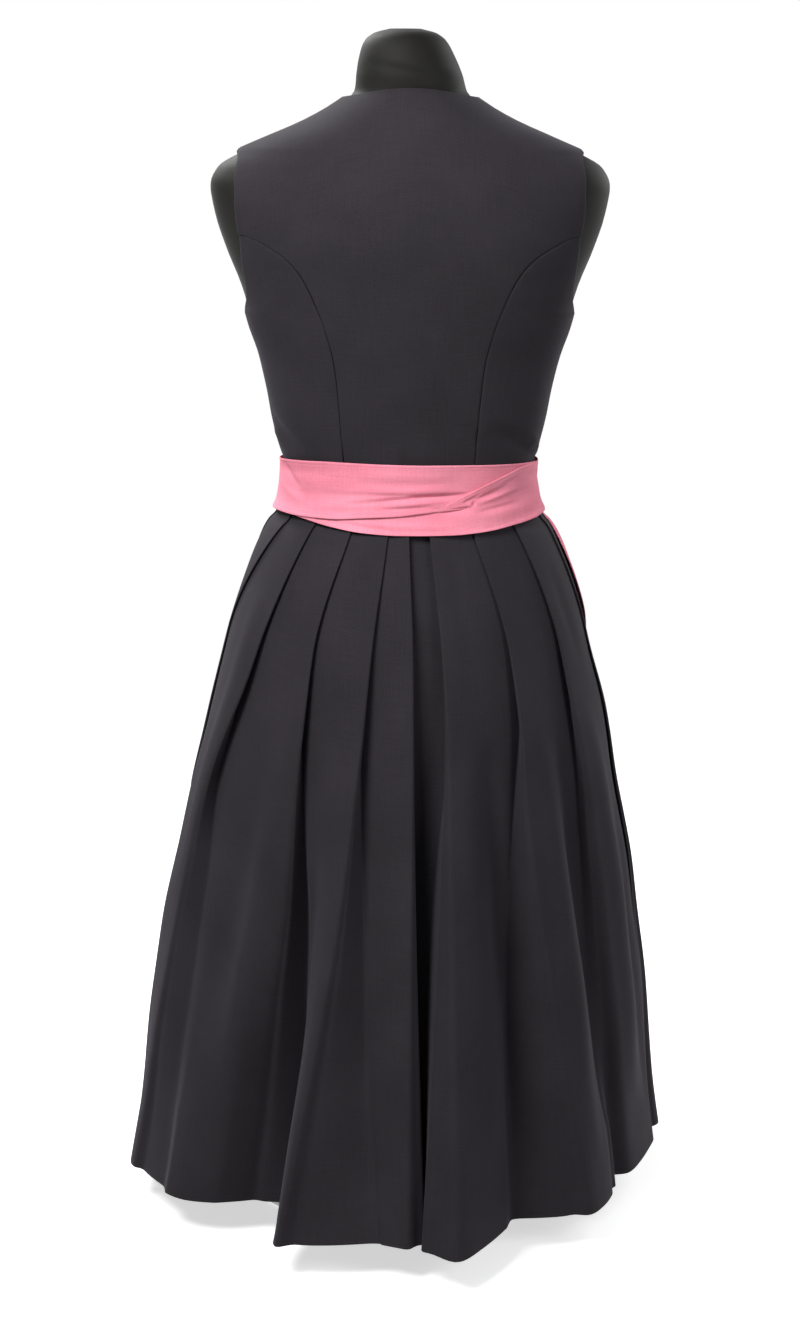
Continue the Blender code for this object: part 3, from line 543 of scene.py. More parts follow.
BACK_NOTCH, FRONT_NOTCH, SHOULDER_TIP = 0.982, 0.972, 1.0640


def seam_shift(height):
    """Half the gap of a seam, in degrees round the figure."""
    return np.degrees(SEAM_GAP / FIGURE.column("front", height))


def where_below(height, *parts):
    """Picks, at each height, the first part whose limit lies above it. parts are (limit, values)."""
    result = parts[-1][1]
    for limit, values in reversed(parts[:-1]):
        result = np.where(height < limit, values, result)
    return result


def back_edge(z):
    return where_below(
        z, (BACK_NOTCH, BACK_PRINCESS.column("angle", z) - seam_shift(z)),
        (SHOULDER_TIP, BACK_ARMHOLE.column("angle", z)), (9, 90 - seam_shift(z)))


def side_back_outer(z):
    arm = BACK_ARMHOLE.column("angle", z) - seam_shift(z)
    return where_below(z, (UNDERARM, 90 - seam_shift(z)), (9, arm))


def side_front_inner(z):
    arm = FRONT_ARMHOLE.column("angle", z) + seam_shift(z)
    return where_below(z, (UNDERARM, 90 + seam_shift(z)), (9, arm))


def front_outer(z):
    return where_below(
        z, (FRONT_NOTCH, FRONT_PRINCESS.column("angle", z) + seam_shift(z)),
        (SHOULDER_TIP, FRONT_ARMHOLE.column("angle", z)), (9, 90 + seam_shift(z)))


def front_inner(z):
    return where_below(z, (FRONT_NECK + 1e-6, 180 - seam_shift(z)), (9, FRONT_NECKLINE.column("angle", z)))


# %% Bodice panels
EDGE_STEPS = np.array([0.0, 0.0004, 0.0009, 0.0016, 0.0028, 0.0050])


def level_rows(first, last, step, *marks):
    """Heights a step apart, with closer ones beside each mark, such as an edge or a corner."""
    rows = list(np.arange(first, last, step)) + [last]
    for mark in marks:
        rows = [row for row in rows if abs(row - mark) > 0.003] + [mark - 0.0015, mark - 0.0005, mark]
    for edge, side in ((first, 1), (last, -1)):
        rows = [row for row in rows if not 0 < abs(row - edge) < 0.004]
        rows = rows + [edge + side * step for step in (0.0004, 0.0009, 0.0018, 0.0030)]
    return np.array(sorted(set(np.round(rows, 5))))


def panel(heights, first_edge, last_edge, columns, top=None):
    """A bodice panel's grid between two edges, and the distance of each corner from its side edges."""
    first, last = first_edge(heights)[:, None], last_edge(heights)[:, None]
    width = np.radians(last - first) * FIGURE.column("front", heights)[:, None] * 1.15
    close = EDGE_STEPS * np.minimum(1.0, width / 0.030)
    inner = np.linspace(0, 1, columns)[1:-1] * (width - 2 * close[:, -1:]) + close[:, -1:]
    place = np.concatenate([close, inner, width - close[:, ::-1]], axis=1)
    angle = first + (last - first) * place / width
    level = heights[:, None] + 0 * angle
    if top is not None:
        level = top(angle, level)
    from_edge = np.minimum(place, width - place)
    roll = -0.0006 * np.exp(-((from_edge / 0.0009) ** 2))
    return figure_point(angle, level, roll)


def neck_top(angle, height):
    rise = np.clip((height - 1.06) / (NECK_SIDE - 1.06), 0, 1)
    return height + rise * (NAPE - NECK_SIDE) * np.cos(np.radians(angle)) ** 2


# soft pulls above the waist, and one below each armhole: angle and height of both ends, softness
# above and below, depth
BACK_PULLS = (
    (58, 0.784, 33, 0.764, 0.006, 0.010, -0.0012), (64, 0.772, 48, 0.758, 0.005, 0.006, 0.0010),
    (-30, 0.800, -52, 0.772, 0.007, 0.010, -0.0012), (-36, 0.780, -56, 0.760, 0.005, 0.007, 0.0009),
    (24, 0.905, 38, 0.860, 0.012, 0.012, -0.0009), (-20, 0.900, -39, 0.850, 0.012, 0.012, -0.0009),
    (52, 1.040, 30, 1.000, 0.012, 0.014, 0.0010), (-52, 1.042, -28, 1.005, 0.012, 0.014, 0.0011),
    (6, 0.790, 8, 0.756, 0.006, 0.006, 0.0007), (-10, 0.792, -8, 0.758, 0.006, 0.006, 0.0006),
)
SIDE_PULLS = (
    (84, 0.806, 60, 0.772, 0.006, 0.009, -0.0036), (86, 0.789, 62, 0.763, 0.004, 0.006, 0.0022),
    (79, 0.782, 64, 0.766, 0.003, 0.006, -0.0026), (-44, 0.798, -72, 0.776, 0.005, 0.009, -0.0036),
    (-58, 0.790, -86, 0.766, 0.004, 0.007, 0.0026), (-60, 0.786, -80, 0.766, 0.003, 0.005, -0.0030),
    (-50, 0.916, -64, 0.911, 0.004, 0.006, -0.0012), (52, 0.918, 66, 0.906, 0.005, 0.007, -0.0009),
    (96, 0.800, 112, 0.770, 0.007, 0.008, -0.0018), (-98, 0.806, -116, 0.772, 0.007, 0.009, -0.0016),
    (92, 0.890, 122, 0.868, 0.012, 0.014, -0.0010), (-94, 0.888, -124, 0.872, 0.012, 0.013, -0.0011),
)
FRONT_PULLS = (
    (152, 0.800, 172, 0.772, 0.007, 0.009, -0.0012), (-150, 0.806, -174, 0.776, 0.007, 0.009, -0.0012),
    (146, 0.965, 160, 0.942, 0.010, 0.012, -0.0010), (-146, 0.962, -161, 0.940, 0.010, 0.012, -0.0010),
    (164, 0.905, 178, 0.888, 0.006, 0.008, 0.0008), (-163, 0.880, -177, 0.868, 0.006, 0.008, 0.0007),
)


def flipped(points):
    """The other side of the body: mirrored, with the columns turned so the cloth still faces out."""
    return (points * (-1, 1, 1))[:, ::-1]


back_rows = level_rows(0.7303, NECK_SIDE, 0.006, BACK_NOTCH, SHOULDER_TIP)
back = panel(back_rows, lambda z: -back_edge(z), back_edge, 60, neck_top)
back = uneven(creased(back, BACK_PULLS), 0.050, 0.0007, 1)
cloth("bodice_back", back, cotton, "cotton")

side_rows = level_rows(0.7303, 0.9805, 0.006, UNDERARM)
side_back = panel(side_rows, lambda z: BACK_PRINCESS.column("angle", z) + seam_shift(z), side_back_outer, 26)
side_front_rows = level_rows(0.7303, 0.9705, 0.006, UNDERARM)
side_front = panel(
    side_front_rows, side_front_inner, lambda z: FRONT_PRINCESS.column("angle", z) - seam_shift(z), 28)
front_rows = level_rows(0.7303, 1.1105, 0.006, FRONT_NOTCH, FRONT_NECK + 0.0006, SHOULDER_TIP)
front = panel(front_rows, front_outer, front_inner, 34)
for seed, (name, points, pulls) in enumerate((
        ("bodice_side_back", side_back, SIDE_PULLS), ("bodice_side_front", side_front, SIDE_PULLS),
        ("bodice_front", front, FRONT_PULLS))):
    left = uneven(creased(points, pulls), 0.045, 0.0007, seed + 2)
    right = uneven(creased(flipped(points), pulls), 0.045, 0.0007, seed + 6)
    cloth(f"{name}_left", left, cotton, "cotton")
    cloth(f"{name}_right", right, cotton, "cotton")
print("bodice panels:", ", ".join(made_cloth))

# %% [markdown]
# ## Six horn buttons
# A bodice closes at the front with a row of small buttons. One profile is turned on a lathe, with a
# rolled rim and a dished middle. A real button has four holes; here the cross of thread covers where
# they would be. Each button is turned flat and then moved to face out of the cloth at its place.

# %% Buttons
BUTTON_PROFILE = (
    (0.0, 0.0022), (0.0034, 0.0022), (0.0042, 0.0026), (0.0050, 0.0030), (0.0057, 0.00295),
    (0.0062, 0.0026), (0.0065, 0.0019), (0.0064, 0.0011), (0.0058, 0.0004), (0.0045, 0.0), (0.0, 0.0))
BUTTON_SEAT = 0.0009
BUTTON_LOW, BUTTON_HIGH, BUTTON_COUNT = 0.790, 0.968, 6
BUTTON_ANGLE = 180.0 - np.degrees(0.011 / 0.11)    # 11 mm beside the closing
THREAD_SIZE = (0.0024, 0.00045, 0.0005)
horn_thread = Finish("button_thread", Roughness=0.6)
strand = horn_thread.node("ShaderNodeTexCoord", output=3)
horn_thread.shade(Base_Color=horn_thread.blend(
    horn_thread.noise(strand, 1500.0), (0.03, 0.028, 0.03, 1), (0.09, 0.085, 0.09, 1)))

for index, height in enumerate(np.linspace(BUTTON_LOW, BUTTON_HIGH, BUTTON_COUNT)):
    place = figure_point(BUTTON_ANGLE, height)
    upwards = figure_point(BUTTON_ANGLE, height + 0.01) - place
    sideways = figure_point(BUTTON_ANGLE + 3, height) - place
    outward = np.cross(upwards, sideways)
    outward = outward / np.linalg.norm(outward)
    turn = Vector(outward).to_track_quat("Z", "Y").to_matrix().to_4x4()
    seat = Matrix.Translation(Vector(place + outward * (0.0005 + BUTTON_SEAT))) @ turn
    button = turned(f"button_{index + 1}_horn", horn, BUTTON_PROFILE, steps=40)
    button.data.transform(seat)
    sewn = bmesh.new()
    for spin in (45, 135):
        bridge = Matrix.Rotation(np.radians(spin + 7 * index), 4, "Z")
        bridge = bridge @ Matrix.Diagonal((*THREAD_SIZE, 1))
        bmesh.ops.create_uvsphere(
            sewn, u_segments=12, v_segments=8, radius=1.0,
            matrix=seat @ Matrix.Translation((0, 0, 0.0023)) @ bridge)
    cross = add_piece(f"button_{index + 1}_thread", sewn, horn_thread)
    attach(button, "horn", f"button_{index + 1}")
    attach(cross, "horn")
print("buttons:", index + 1)

# %% [markdown]
# ## The pleated skirt
# The skirt's two panels are a little flared and folded into deep knife pleats at the waist. At the top
# each pleat lies flat: a free edge on top, a hidden layer going back, and an inner fold. Lower down the
# folds open and the cloth swings out into round ridges and hollows. So the section at any height is the
# same run of folds, more or less open. `roll` turns a free edge in where it hangs loose, and `snug`
# flattens the folds over the hips. `half_section` gives the corners; `rounded` then cuts them evenly, as
# a B-spline does, and support corners beside a fold keep it crisp.

# %% Skirt sections
SKIRT = Table(
    "height half_width back front",
    (0.035, 0.280, 0.290, 0.250),
    (0.100, 0.271, 0.272, 0.238),
    (0.200, 0.260, 0.247, 0.219),
    (0.300, 0.244, 0.223, 0.199),
    (0.400, 0.225, 0.199, 0.178),
    (0.500, 0.204, 0.172, 0.156),
    (0.560, 0.188, 0.154, 0.142),
    (0.600, 0.178, 0.141, 0.132),
    (0.650, 0.163, 0.123, 0.119),
    (0.680, 0.1510, 0.1105, 0.107),
    (0.694, 0.1430, 0.1045, 0.100),
    (0.703, 0.1345, 0.1005, 0.097),
    (0.715, 0.1290, 0.0970, 0.094),
    (0.730, 0.1250, 0.0935, 0.092),
)
OPENING = Table(
    "height depth_share relief rounding hem_share",
    (0.035, -0.60, 0.0300, 1.10, 1.00),
    (0.100, -0.45, 0.0300, 0.90, 0.88),
    (0.200, -0.20, 0.0290, 0.60, 0.66),
    (0.300, 0.05, 0.0270, 0.36, 0.46),
    (0.400, 0.35, 0.0220, 0.20, 0.26),
    (0.500, 0.62, 0.0150, 0.10, 0.10),
    (0.600, 0.85, 0.0075, 0.05, 0.02),
    (0.680, 0.97, 0.0042, 0.00, 0.00),
    (0.730, 1.00, 0.0034, 0.00, 0.00),
)
PLEATS = "waist hip knee hem depth ridge valley_angle valley bulge roll".split()
LEFT_PLEATS = (
    (0.0, -1.8, -2.0, -3.2, 0.016, 0.004, -2.5, -0.055, 0.000, 0.012),
    (11.0, 14.0, 15.6, 20.3, 0.016, 0.029, 6.0, -0.009, 0.020, 0.016),
    (31.0, 36.5, 35.5, 40.0, 0.024, -0.048, 30.0, -0.080, 0.025, 0.010),
    (51.5, 59.5, 69.0, 70.0, 0.024, 0.012, 61.0, -0.001, 0.006, 0.008),
    (69.0, 86.0, 92.0, 94.0, 0.024, 0.005, 84.0, -0.003, 0.004, 0.006),
    (93.0, 108.0, 113.0, 117.0, 0.024, 0.000, 107.0, -0.018, 0.004, 0.006),
    (117.0, 128.0, 134.0, 140.0, 0.022, 0.000, 129.0, -0.020, 0.003, 0.006),
    (141.0, 149.0, 155.0, 161.0, 0.018, 0.000, 150.0, -0.020, 0.003, 0.005),
)
RIGHT_PLEATS = (
    (11.2, 12.9, 9.3, 3.6, 0.024, 0.043, 4.6, -0.055, -0.004, 0.033),
    (34.0, 39.0, 35.5, 38.0, 0.024, -0.009, 26.0, -0.045, 0.003, 0.014),
    (57.0, 61.7, 61.5, 63.0, 0.024, -0.032, 57.0, -0.032, -0.002, 0.014),
    (80.0, 86.0, 90.0, 95.0, 0.024, -0.010, 89.0, -0.018, 0.006, 0.008),
    (104.0, 107.0, 109.0, 110.0, 0.022, 0.018, 103.0, -0.006, 0.004, 0.008),
    (126.0, 130.0, 136.0, 141.0, 0.022, 0.000, 130.0, -0.020, 0.003, 0.006),
    (148.0, 151.0, 156.0, 161.0, 0.018, 0.000, 150.0, -0.020, 0.003, 0.005),
)
PLEAT_HEIGHTS = dict(hem=0.035, knee=0.38, hip=0.58, waist=0.70)
SIDE_SEAM_LEFT, SIDE_SEAM_RIGHT = 5, 4


def skirt_radius(angle, height):
    half_width, back, front = np.moveaxis(SKIRT.read(np.asarray(height, float)), -1, 0)
    return oval(angle, half_width, back, front)


def half_section(pleats, side, height):
    """Corners of half the skirt's section, from centre back to centre front, and its inner folds."""
    depth_share, relief, rounding, hem_share = OPENING.read(np.array(height))

    def shaped(angle, hem_offset, inset):
        return skirt_radius(side * angle, height) + hem_share * hem_offset - (1 - hem_share) * inset

    pitch = 0.0012 * (1 - 0.6 * hem_share)
    corners, folds, last_bulge = [], [], 0.0
    for row in pleats:
        pleat = dict(zip(PLEATS, row))
        levels = sorted((level, pleat[name]) for name, level in PLEAT_HEIGHTS.items())
        edge = float(Table("height angle", *levels).column("angle", height))
        ridge = shaped(edge, pleat["ridge"], 0.0)
        roll = pleat["roll"] * hem_share
        folded = edge + np.degrees(depth_share * pleat["depth"] / ridge)
        inner = (1 - hem_share) * folded + hem_share * pleat["valley_angle"]
        snug = 1 - 0.78 * np.exp(-(((edge - 90) / 14) ** 2))      # drawn tight over the hips
        valley = shaped(inner, pleat["valley"], relief * snug)
        if corners:
            start, start_radius = corners[-1]
            sagging = start_radius - skirt_radius(side * start, height)
            arriving = valley - skirt_radius(side * inner, height)
            support = min(0.12, 0.0030 / max(1e-4, abs(np.radians(inner - start)) * valley))
            support = support + (0.20 - support) * hem_share
            for step in (support, 0.22, 0.50, 0.78, 1 - support):
                along = start + (inner - start) * step
                bulge = last_bulge * hem_share * np.sin(np.pi * step)
                offset = sagging + (arriving - sagging) * step + bulge
                corners.append((along, skirt_radius(side * along, height) + offset))
        corners.append((inner - rounding, valley))
        folds.append(len(corners))
        corners.append((inner, valley + pitch / 2))
        hidden = np.array([(inner + rounding, valley + pitch), (edge - rounding, ridge - roll - pitch)])
        for step in (0.0, 0.14 + 0.18 * hem_share, 0.86 - 0.18 * hem_share, 1.0):
            corners.append(tuple(hidden[0] + (hidden[1] - hidden[0]) * step))
        corners.append((edge + rounding, ridge - roll))
        corners.append((edge + rounding + 0.2 + 100 * roll, ridge))
        last_bulge = pleat["bulge"]
    for along in np.linspace(corners[-1][0], 180.0, 5)[1:]:
        corners.append((along, skirt_radius(side * along, height)))
    return np.array(corners) * (side, 1), folds


def rounded(points, passes=2):
    """Cuts the corners of every row of points evenly, keeping its two ends."""
    for _ in range(passes):
        middle = (points[:, :-1] + points[:, 1:]) / 2
        kept = (middle[:, :-1] + 2 * points[:, 1:-1] + middle[:, 1:]) / 4
        finer = np.empty((len(points), 2 * points.shape[1] - 1, 3))
        finer[:, 1::2] = middle
        finer[:, 2:-1:2] = kept
        finer[:, 0], finer[:, -1] = points[:, 0], points[:, -1]
        points = finer
    return points


# %% Skirt cloth
skirt_rows = np.concatenate([
    [0.0350, 0.0356, 0.0364, 0.0380, 0.0410], np.arange(0.050, 0.640, 0.0095),
    np.arange(0.640, 0.7275, 0.0055), [0.7297]])
backs, fronts = [], []
for height in skirt_rows:
    left, left_folds = half_section(LEFT_PLEATS, 1, height)
    right, right_folds = half_section(RIGHT_PLEATS, -1, height)
    left_seam, right_seam = left_folds[SIDE_SEAM_LEFT], right_folds[SIDE_SEAM_RIGHT]
    whole_back = np.vstack([right[:right_seam + 1][::-1], left[:left_seam + 1]])
    whole_front = np.vstack([left[left_seam:], (right[right_seam:-1] + (360.0, 0.0))[::-1]])
    backs.append(polar(whole_back[:, 0], whole_back[:, 1], height))
    fronts.append(polar(whole_front[:, 0], whole_front[:, 1], height))

# long soft troughs and ridges that hang between the pressed folds
BACK_HANGS = (
    (50, 0.560, 56, 0.120, 0.022, 0.030, -0.0085), (78, 0.500, 84, 0.100, 0.020, 0.024, 0.0060),
    (44, 0.430, 46, 0.090, 0.014, 0.018, 0.0065), (27, 0.420, 30, 0.060, 0.014, 0.018, -0.0095),
    (20, 0.300, 24, 0.050, 0.012, 0.014, 0.0060), (8, 0.400, 11, 0.050, 0.016, 0.018, -0.0040),
    (-17, 0.480, -19, 0.080, 0.016, 0.020, 0.0080), (-27, 0.500, -29, 0.060, 0.015, 0.018, -0.0120),
    (-46, 0.520, -47, 0.080, 0.016, 0.018, 0.0080), (-56, 0.500, -58, 0.100, 0.014, 0.017, -0.0100),
    (-70, 0.520, -74, 0.100, 0.016, 0.018, 0.0065), (-82, 0.420, -85, 0.080, 0.014, 0.016, -0.0060),
    (96, 0.420, 101, 0.080, 0.020, 0.022, -0.0050), (-1, 0.640, 3, 0.420, 0.008, 0.010, 0.0010),
    (20, 0.680, 22, 0.560, 0.016, 0.012, -0.0014), (-22, 0.690, -24, 0.540, 0.016, 0.014, -0.0018),
    (66, 0.640, 74, 0.300, 0.014, 0.018, 0.0035), (-68, 0.660, -72, 0.560, 0.010, 0.012, -0.0016),
)
FRONT_HANGS = (
    (118, 0.480, 124, 0.080, 0.020, 0.022, 0.0045), (-120, 0.460, -126, 0.090, 0.020, 0.022, 0.0045),
    (146, 0.400, 150, 0.080, 0.018, 0.020, -0.0030), (-144, 0.420, -149, 0.070, 0.018, 0.020, -0.0030),
)
# both panels read the same creases and the same unevenness, so that they still meet at the side seams
skirt_back, skirt_front = (
    uneven(creased(rounded(np.array(panel)), BACK_HANGS + FRONT_HANGS, 0.22), 0.090, 0.0022, 11)
    for panel in (backs, fronts))
print("widest gap at the side seams, in mm:", [
    round(1000 * float(np.linalg.norm(one - other, axis=-1).max()), 3)
    for one, other in ((skirt_back[:, -1], skirt_front[:, 0]), (skirt_back[:, 0], skirt_front[:, -1]))])
for name, points in (("skirt_back", skirt_back), ("skirt_front", skirt_front)):
    cloth(name, points, cotton, "cotton")
    print(name, "width at the waist and the hem:", cut_size(points[-2:])[0], cut_size(points[:2])[0])

# %% [markdown]
# ## The wrapped ties
# The apron's ties are as wide as a hand. They start at the apron's waistband on the front, cross at the
# back, and come round to the front again for the bow. So two layers lie on each side, and at the
# crossing they change places, where one is pushed down into folds. Each tie has a table of its lower
# and upper edge round the waist. At the back, the edges and the main folds were read off the photo,
# and a sum through the camera turned the readings into angles and heights.

# %% Ties
BAND = Table(
    "height half_width back front",
    (0.685, 0.1440, 0.1085, 0.104), (0.703, 0.1370, 0.1030, 0.100), (0.720, 0.1305, 0.0985, 0.097),
    (0.740, 0.1275, 0.0960, 0.096), (0.757, 0.1268, 0.0945, 0.096), (0.770, 0.1310, 0.0955, 0.098),
)
RIGHT_TIE = Table(
    "angle bottom top",
    (-100.0, 0.7095, 0.7545), (-88.0, 0.7100, 0.7560), (-73.6, 0.7110, 0.7583),
    (-57.9, 0.7120, 0.7599), (-45.9, 0.7165, 0.7608), (-35.3, 0.7190, 0.7615),
    (-25.0, 0.7182, 0.7620), (-18.2, 0.7174, 0.7623), (-8.6, 0.7160, 0.7626),
    (5.4, 0.7130, 0.7629), (23.6, 0.7107, 0.7634), (42.0, 0.7080, 0.7638),
    (58.9, 0.7077, 0.7625), (78.9, 0.7085, 0.7597), (100.0, 0.7080, 0.7570),
    (163.0, 0.7110, 0.7540),
)
LEFT_TIE = Table(
    "angle bottom top",
    (-179.0, 0.7110, 0.7540), (-140.0, 0.7085, 0.7570), (-100.0, 0.7080, 0.7570),
    (-78.6, 0.7058, 0.7572), (-71.9, 0.7040, 0.7571), (-64.5, 0.7025, 0.7559),
    (-52.5, 0.6998, 0.7490), (-41.8, 0.6973, 0.7409), (-33.1, 0.6960, 0.7339),
    (-27.4, 0.6953, 0.7290), (-21.5, 0.6950, 0.7236), (-17.0, 0.6949, 0.7190),
    (-8.6, 0.6948, 0.7185), (4.5, 0.6948, 0.7230), (22.7, 0.6962, 0.7330),
    (41.1, 0.7003, 0.7440), (58.6, 0.7058, 0.7500), (78.3, 0.7098, 0.7530),
    (100.0, 0.7095, 0.7540),
)
SWAP_START, SWAP_END, TIE_PITCH = -41.0, 0.0, 0.0021


def band_radius(angle, height, level=0.0):
    """Radius of the ties' wall: level 0 is the inner tie, and 1 is the outer one."""
    half_width, back, front = np.moveaxis(BAND.read(height), -1, 0)
    own = oval(angle, half_width, back, front)
    over_skirt = skirt_radius(angle, np.minimum(height, 0.730)) + 0.0020
    over_bodice = figure_radius(angle, np.maximum(height, 0.730)) + 0.0020
    return np.maximum(own, np.maximum(over_skirt, over_bodice)) + level * TIE_PITCH


def edge_shares(width, columns):
    """Shares across a strip, closer at both edges, where its turned hem lies."""
    close = np.array([0.0, 0.0004, 0.0010, 0.0022, 0.0034, 0.0040, 0.0046, 0.0060]) / width
    inner = np.linspace(close[-1], 1 - close[-1], columns)[1:-1]
    return np.concatenate([close, inner, 1 - close[::-1]])


def turned_hem(share, width):
    """A strip's turned edge: double for 4 mm, and pulled in along its line of stitches."""
    from_edge = np.minimum(share, 1 - share) * width
    doubled = 0.0003 * (1 - smooth_step(from_edge, 0.0036, 0.0052))
    rolled = -0.0004 * np.exp(-((from_edge / 0.0006) ** 2))
    return doubled + rolled - 0.00035 * np.exp(-(((from_edge - 0.0034) / 0.0006) ** 2))


def tie(table, start, end, outer_side):
    """A tie's grid: rows across it, from its lower to its upper edge, and columns round the waist."""
    angle = np.arange(start, end + 0.01, 0.75)
    bottom, top = np.moveaxis(table.read(angle), -1, 0)
    share = edge_shares(0.045, 26)[:, None]
    height = bottom + (top - bottom) * share
    swap = smooth_step(angle, SWAP_START, SWAP_END)
    level = swap if outer_side > 0 else 1 - swap
    radius = band_radius(angle, height, level) + turned_hem(share, 0.045)
    return polar(angle, radius, height)


# the folds at the crossing, and soft waves round the waist
RIGHT_TIE_FOLDS = (
    (-34.2, 0.7344, 1.3, 0.7320, 0.0007, 0.0036, -0.0026),
    (-12.0, 0.7334, 36.0, 0.7240, 0.0010, 0.0042, -0.0018),
    (-24, 0.7375, 22, 0.7352, 0.0050, 0.0014, 0.0012), (4, 0.7345, 48, 0.7320, 0.0016, 0.0040, -0.0008),
    (14, 0.7260, 58, 0.7170, 0.0045, 0.0040, 0.0010), (-20, 0.7280, 14, 0.7225, 0.0035, 0.0035, 0.0012),
    (76, 0.7580, 62, 0.7340, 0.0035, 0.0050, -0.0016), (84, 0.7400, 58, 0.7210, 0.0050, 0.0050, 0.0012),
    (40, 0.7520, 88, 0.7490, 0.0050, 0.0050, -0.0008), (-22, 0.7500, 30, 0.7520, 0.0050, 0.0060, 0.0008),
    (-14, 0.7235, 20, 0.7190, 0.0012, 0.0030, -0.0012),
    (104, 0.7400, 156, 0.7380, 0.0040, 0.0060, -0.0009), (96, 0.7250, 150, 0.7230, 0.0050, 0.0040, 0.0008),
)
LEFT_TIE_FOLDS = (
    (-17.0, 0.7172, -35.3, 0.7213, 0.0008, 0.0034, -0.0022),
    (-35.3, 0.7211, -36.4, 0.7268, 0.0012, 0.0020, -0.0018),
    (-36.1, 0.7268, -55.3, 0.7406, 0.0012, 0.0036, -0.0015),
    (-38, 0.7235, -62, 0.7350, 0.0030, 0.0014, 0.0013),
    (-30, 0.7250, -40, 0.7330, 0.0012, 0.0030, -0.0012), (-52, 0.7400, -62, 0.7470, 0.0020, 0.0040, -0.0008),
    (-24, 0.7100, -88, 0.7230, 0.0050, 0.0060, 0.0011), (-36, 0.7150, -63, 0.7230, 0.0014, 0.0040, -0.0011),
    (-24, 0.7020, 30, 0.7050, 0.0030, 0.0040, 0.0009), (10, 0.7010, 44, 0.7050, 0.0020, 0.0030, -0.0008),
    (-66, 0.7480, -96, 0.7380, 0.0040, 0.0060, -0.0010), (-40, 0.7010, -84, 0.7120, 0.0040, 0.0050, -0.0009),
    (-100, 0.7420, -150, 0.7400, 0.0050, 0.0060, -0.0009),
    (-104, 0.7240, -160, 0.7260, 0.0050, 0.0050, 0.0008),
)
tie_right = uneven(creased(tie(RIGHT_TIE, -100.0, 163.0, 1), RIGHT_TIE_FOLDS), 0.034, 0.0005, 21)
tie_left = uneven(creased(tie(LEFT_TIE, -179.0, 100.0, -1), LEFT_TIE_FOLDS), 0.034, 0.0005, 22)
cloth("apron_tie_right", tie_right, satin, "satin", 0.0005)
cloth("apron_tie_left", tie_left, satin, "satin", 0.0005)
print("ties:", [round(made_cloth[name][0], 3) for name in ("apron_tie_right", "apron_tie_left")], "m long")

# %% [markdown]
# ## The apron's skirt and waistband
# The apron covers the front and comes round to the sides, so only a sliver of it shows from behind. It
# is a width gathered into its waistband: many fine gathers at the top that run together into a few wide
# waves lower down. `reach` takes its far side edge further round just below the ties, and `hugging` lays
# that edge close to the hip.

# %% Apron
APRON = Table(
    "height left_edge right_edge reach lift wave gathers",
    (0.075, 125.0, -125.0, 3.0, 0.0230, 0.0090, 0.0000),
    (0.300, 121.0, -120.0, 5.5, 0.0185, 0.0080, 0.0004),
    (0.400, 119.0, -117.5, 7.0, 0.0160, 0.0068, 0.0008),
    (0.500, 117.0, -114.5, 8.5, 0.0130, 0.0050, 0.0011),
    (0.570, 115.0, -112.0, 13.0, 0.0105, 0.0038, 0.0013),
    (0.610, 113.0, -110.0, 19.0, 0.0090, 0.0032, 0.0013),
    (0.640, 112.0, -108.0, 20.5, 0.0080, 0.0028, 0.0012),
    (0.665, 110.0, -106.0, 21.0, 0.0070, 0.0024, 0.0010),
    (0.685, 108.0, -104.0, 19.5, 0.0058, 0.0018, 0.0009),
    (0.695, 106.0, -103.0, 17.0, 0.0042, 0.0009, 0.0006),
    (0.7060, 104.0, -102.0, 12.0, 0.0024, 0.0003, 0.0002),
)
apron_rows = np.concatenate([
    [0.0750, 0.0754, 0.0762, 0.0776, 0.0800, 0.0900, 0.0945, 0.0960, 0.0975], np.arange(0.102, 0.6, 0.0085),
    np.arange(0.6, 0.704, 0.0045), [0.7060]])
APRON_WIDTH = 0.80
share = edge_shares(APRON_WIDTH, 260)[None, :]
left, right, reach, lift, wave, gathers = (column[:, None] for column in APRON.read(apron_rows).T)
angle = left + (360 + right - left) * share + reach * share ** 6
near_edge = 1 - smooth_step((1 - share) * APRON_WIDTH, 0.004, 0.070)
hugging = 1 - 0.75 * near_edge * smooth_step(apron_rows, 0.43, 0.54)[:, None]    # there it lies on the hip
ripple = np.sin(2 * np.pi * (9 * share + 0.1 * np.sin(7 * share)))
fine = np.sin(2 * np.pi * (36 * share + 0.35 * np.sin(23 * share) + 0.3 * np.sin(57 * share)))
hem_row = apron_rows[:, None] - 0.075
hem = 0.0004 * (1 - smooth_step(hem_row, 0.0200, 0.0225))
radius = skirt_radius(angle, apron_rows[:, None]) + (lift + wave * ripple + gathers * fine) * hugging + hem
radius = radius + turned_hem(share, APRON_WIDTH)
apron = uneven(polar(angle, radius, apron_rows[:, None]), 0.080, 0.0016, 31)
cloth("apron_panel", apron, satin, "satin")

WAISTBAND_START, WAISTBAND_END = 100.3, 259.8
WAISTBAND_BOTTOM, WAISTBAND_WIDTH = 0.7068, 0.0472
angle = np.arange(WAISTBAND_START, WAISTBAND_END, 0.75)
share = edge_shares(WAISTBAND_WIDTH, 20)[:, None]
height = WAISTBAND_BOTTOM + WAISTBAND_WIDTH * share
radius = band_radius(angle, height + 0 * angle) + turned_hem(share, WAISTBAND_WIDTH)
cloth("apron_waistband", uneven(polar(angle, radius, height), 0.03, 0.0003, 32), satin, "satin")
print("apron cut:", [round(size, 3) for size in made_cloth["apron_panel"]])

# %% [markdown]
# ## The bow
# The ties end at the front in a bow: two flat loops, a knot and two tails. Where a bow sits is a small
# message of its own among dirndl wearers. A loop is a strip that goes out, turns and comes back, so
# its outline is a table over one turn, and its creases fan out from the knot.

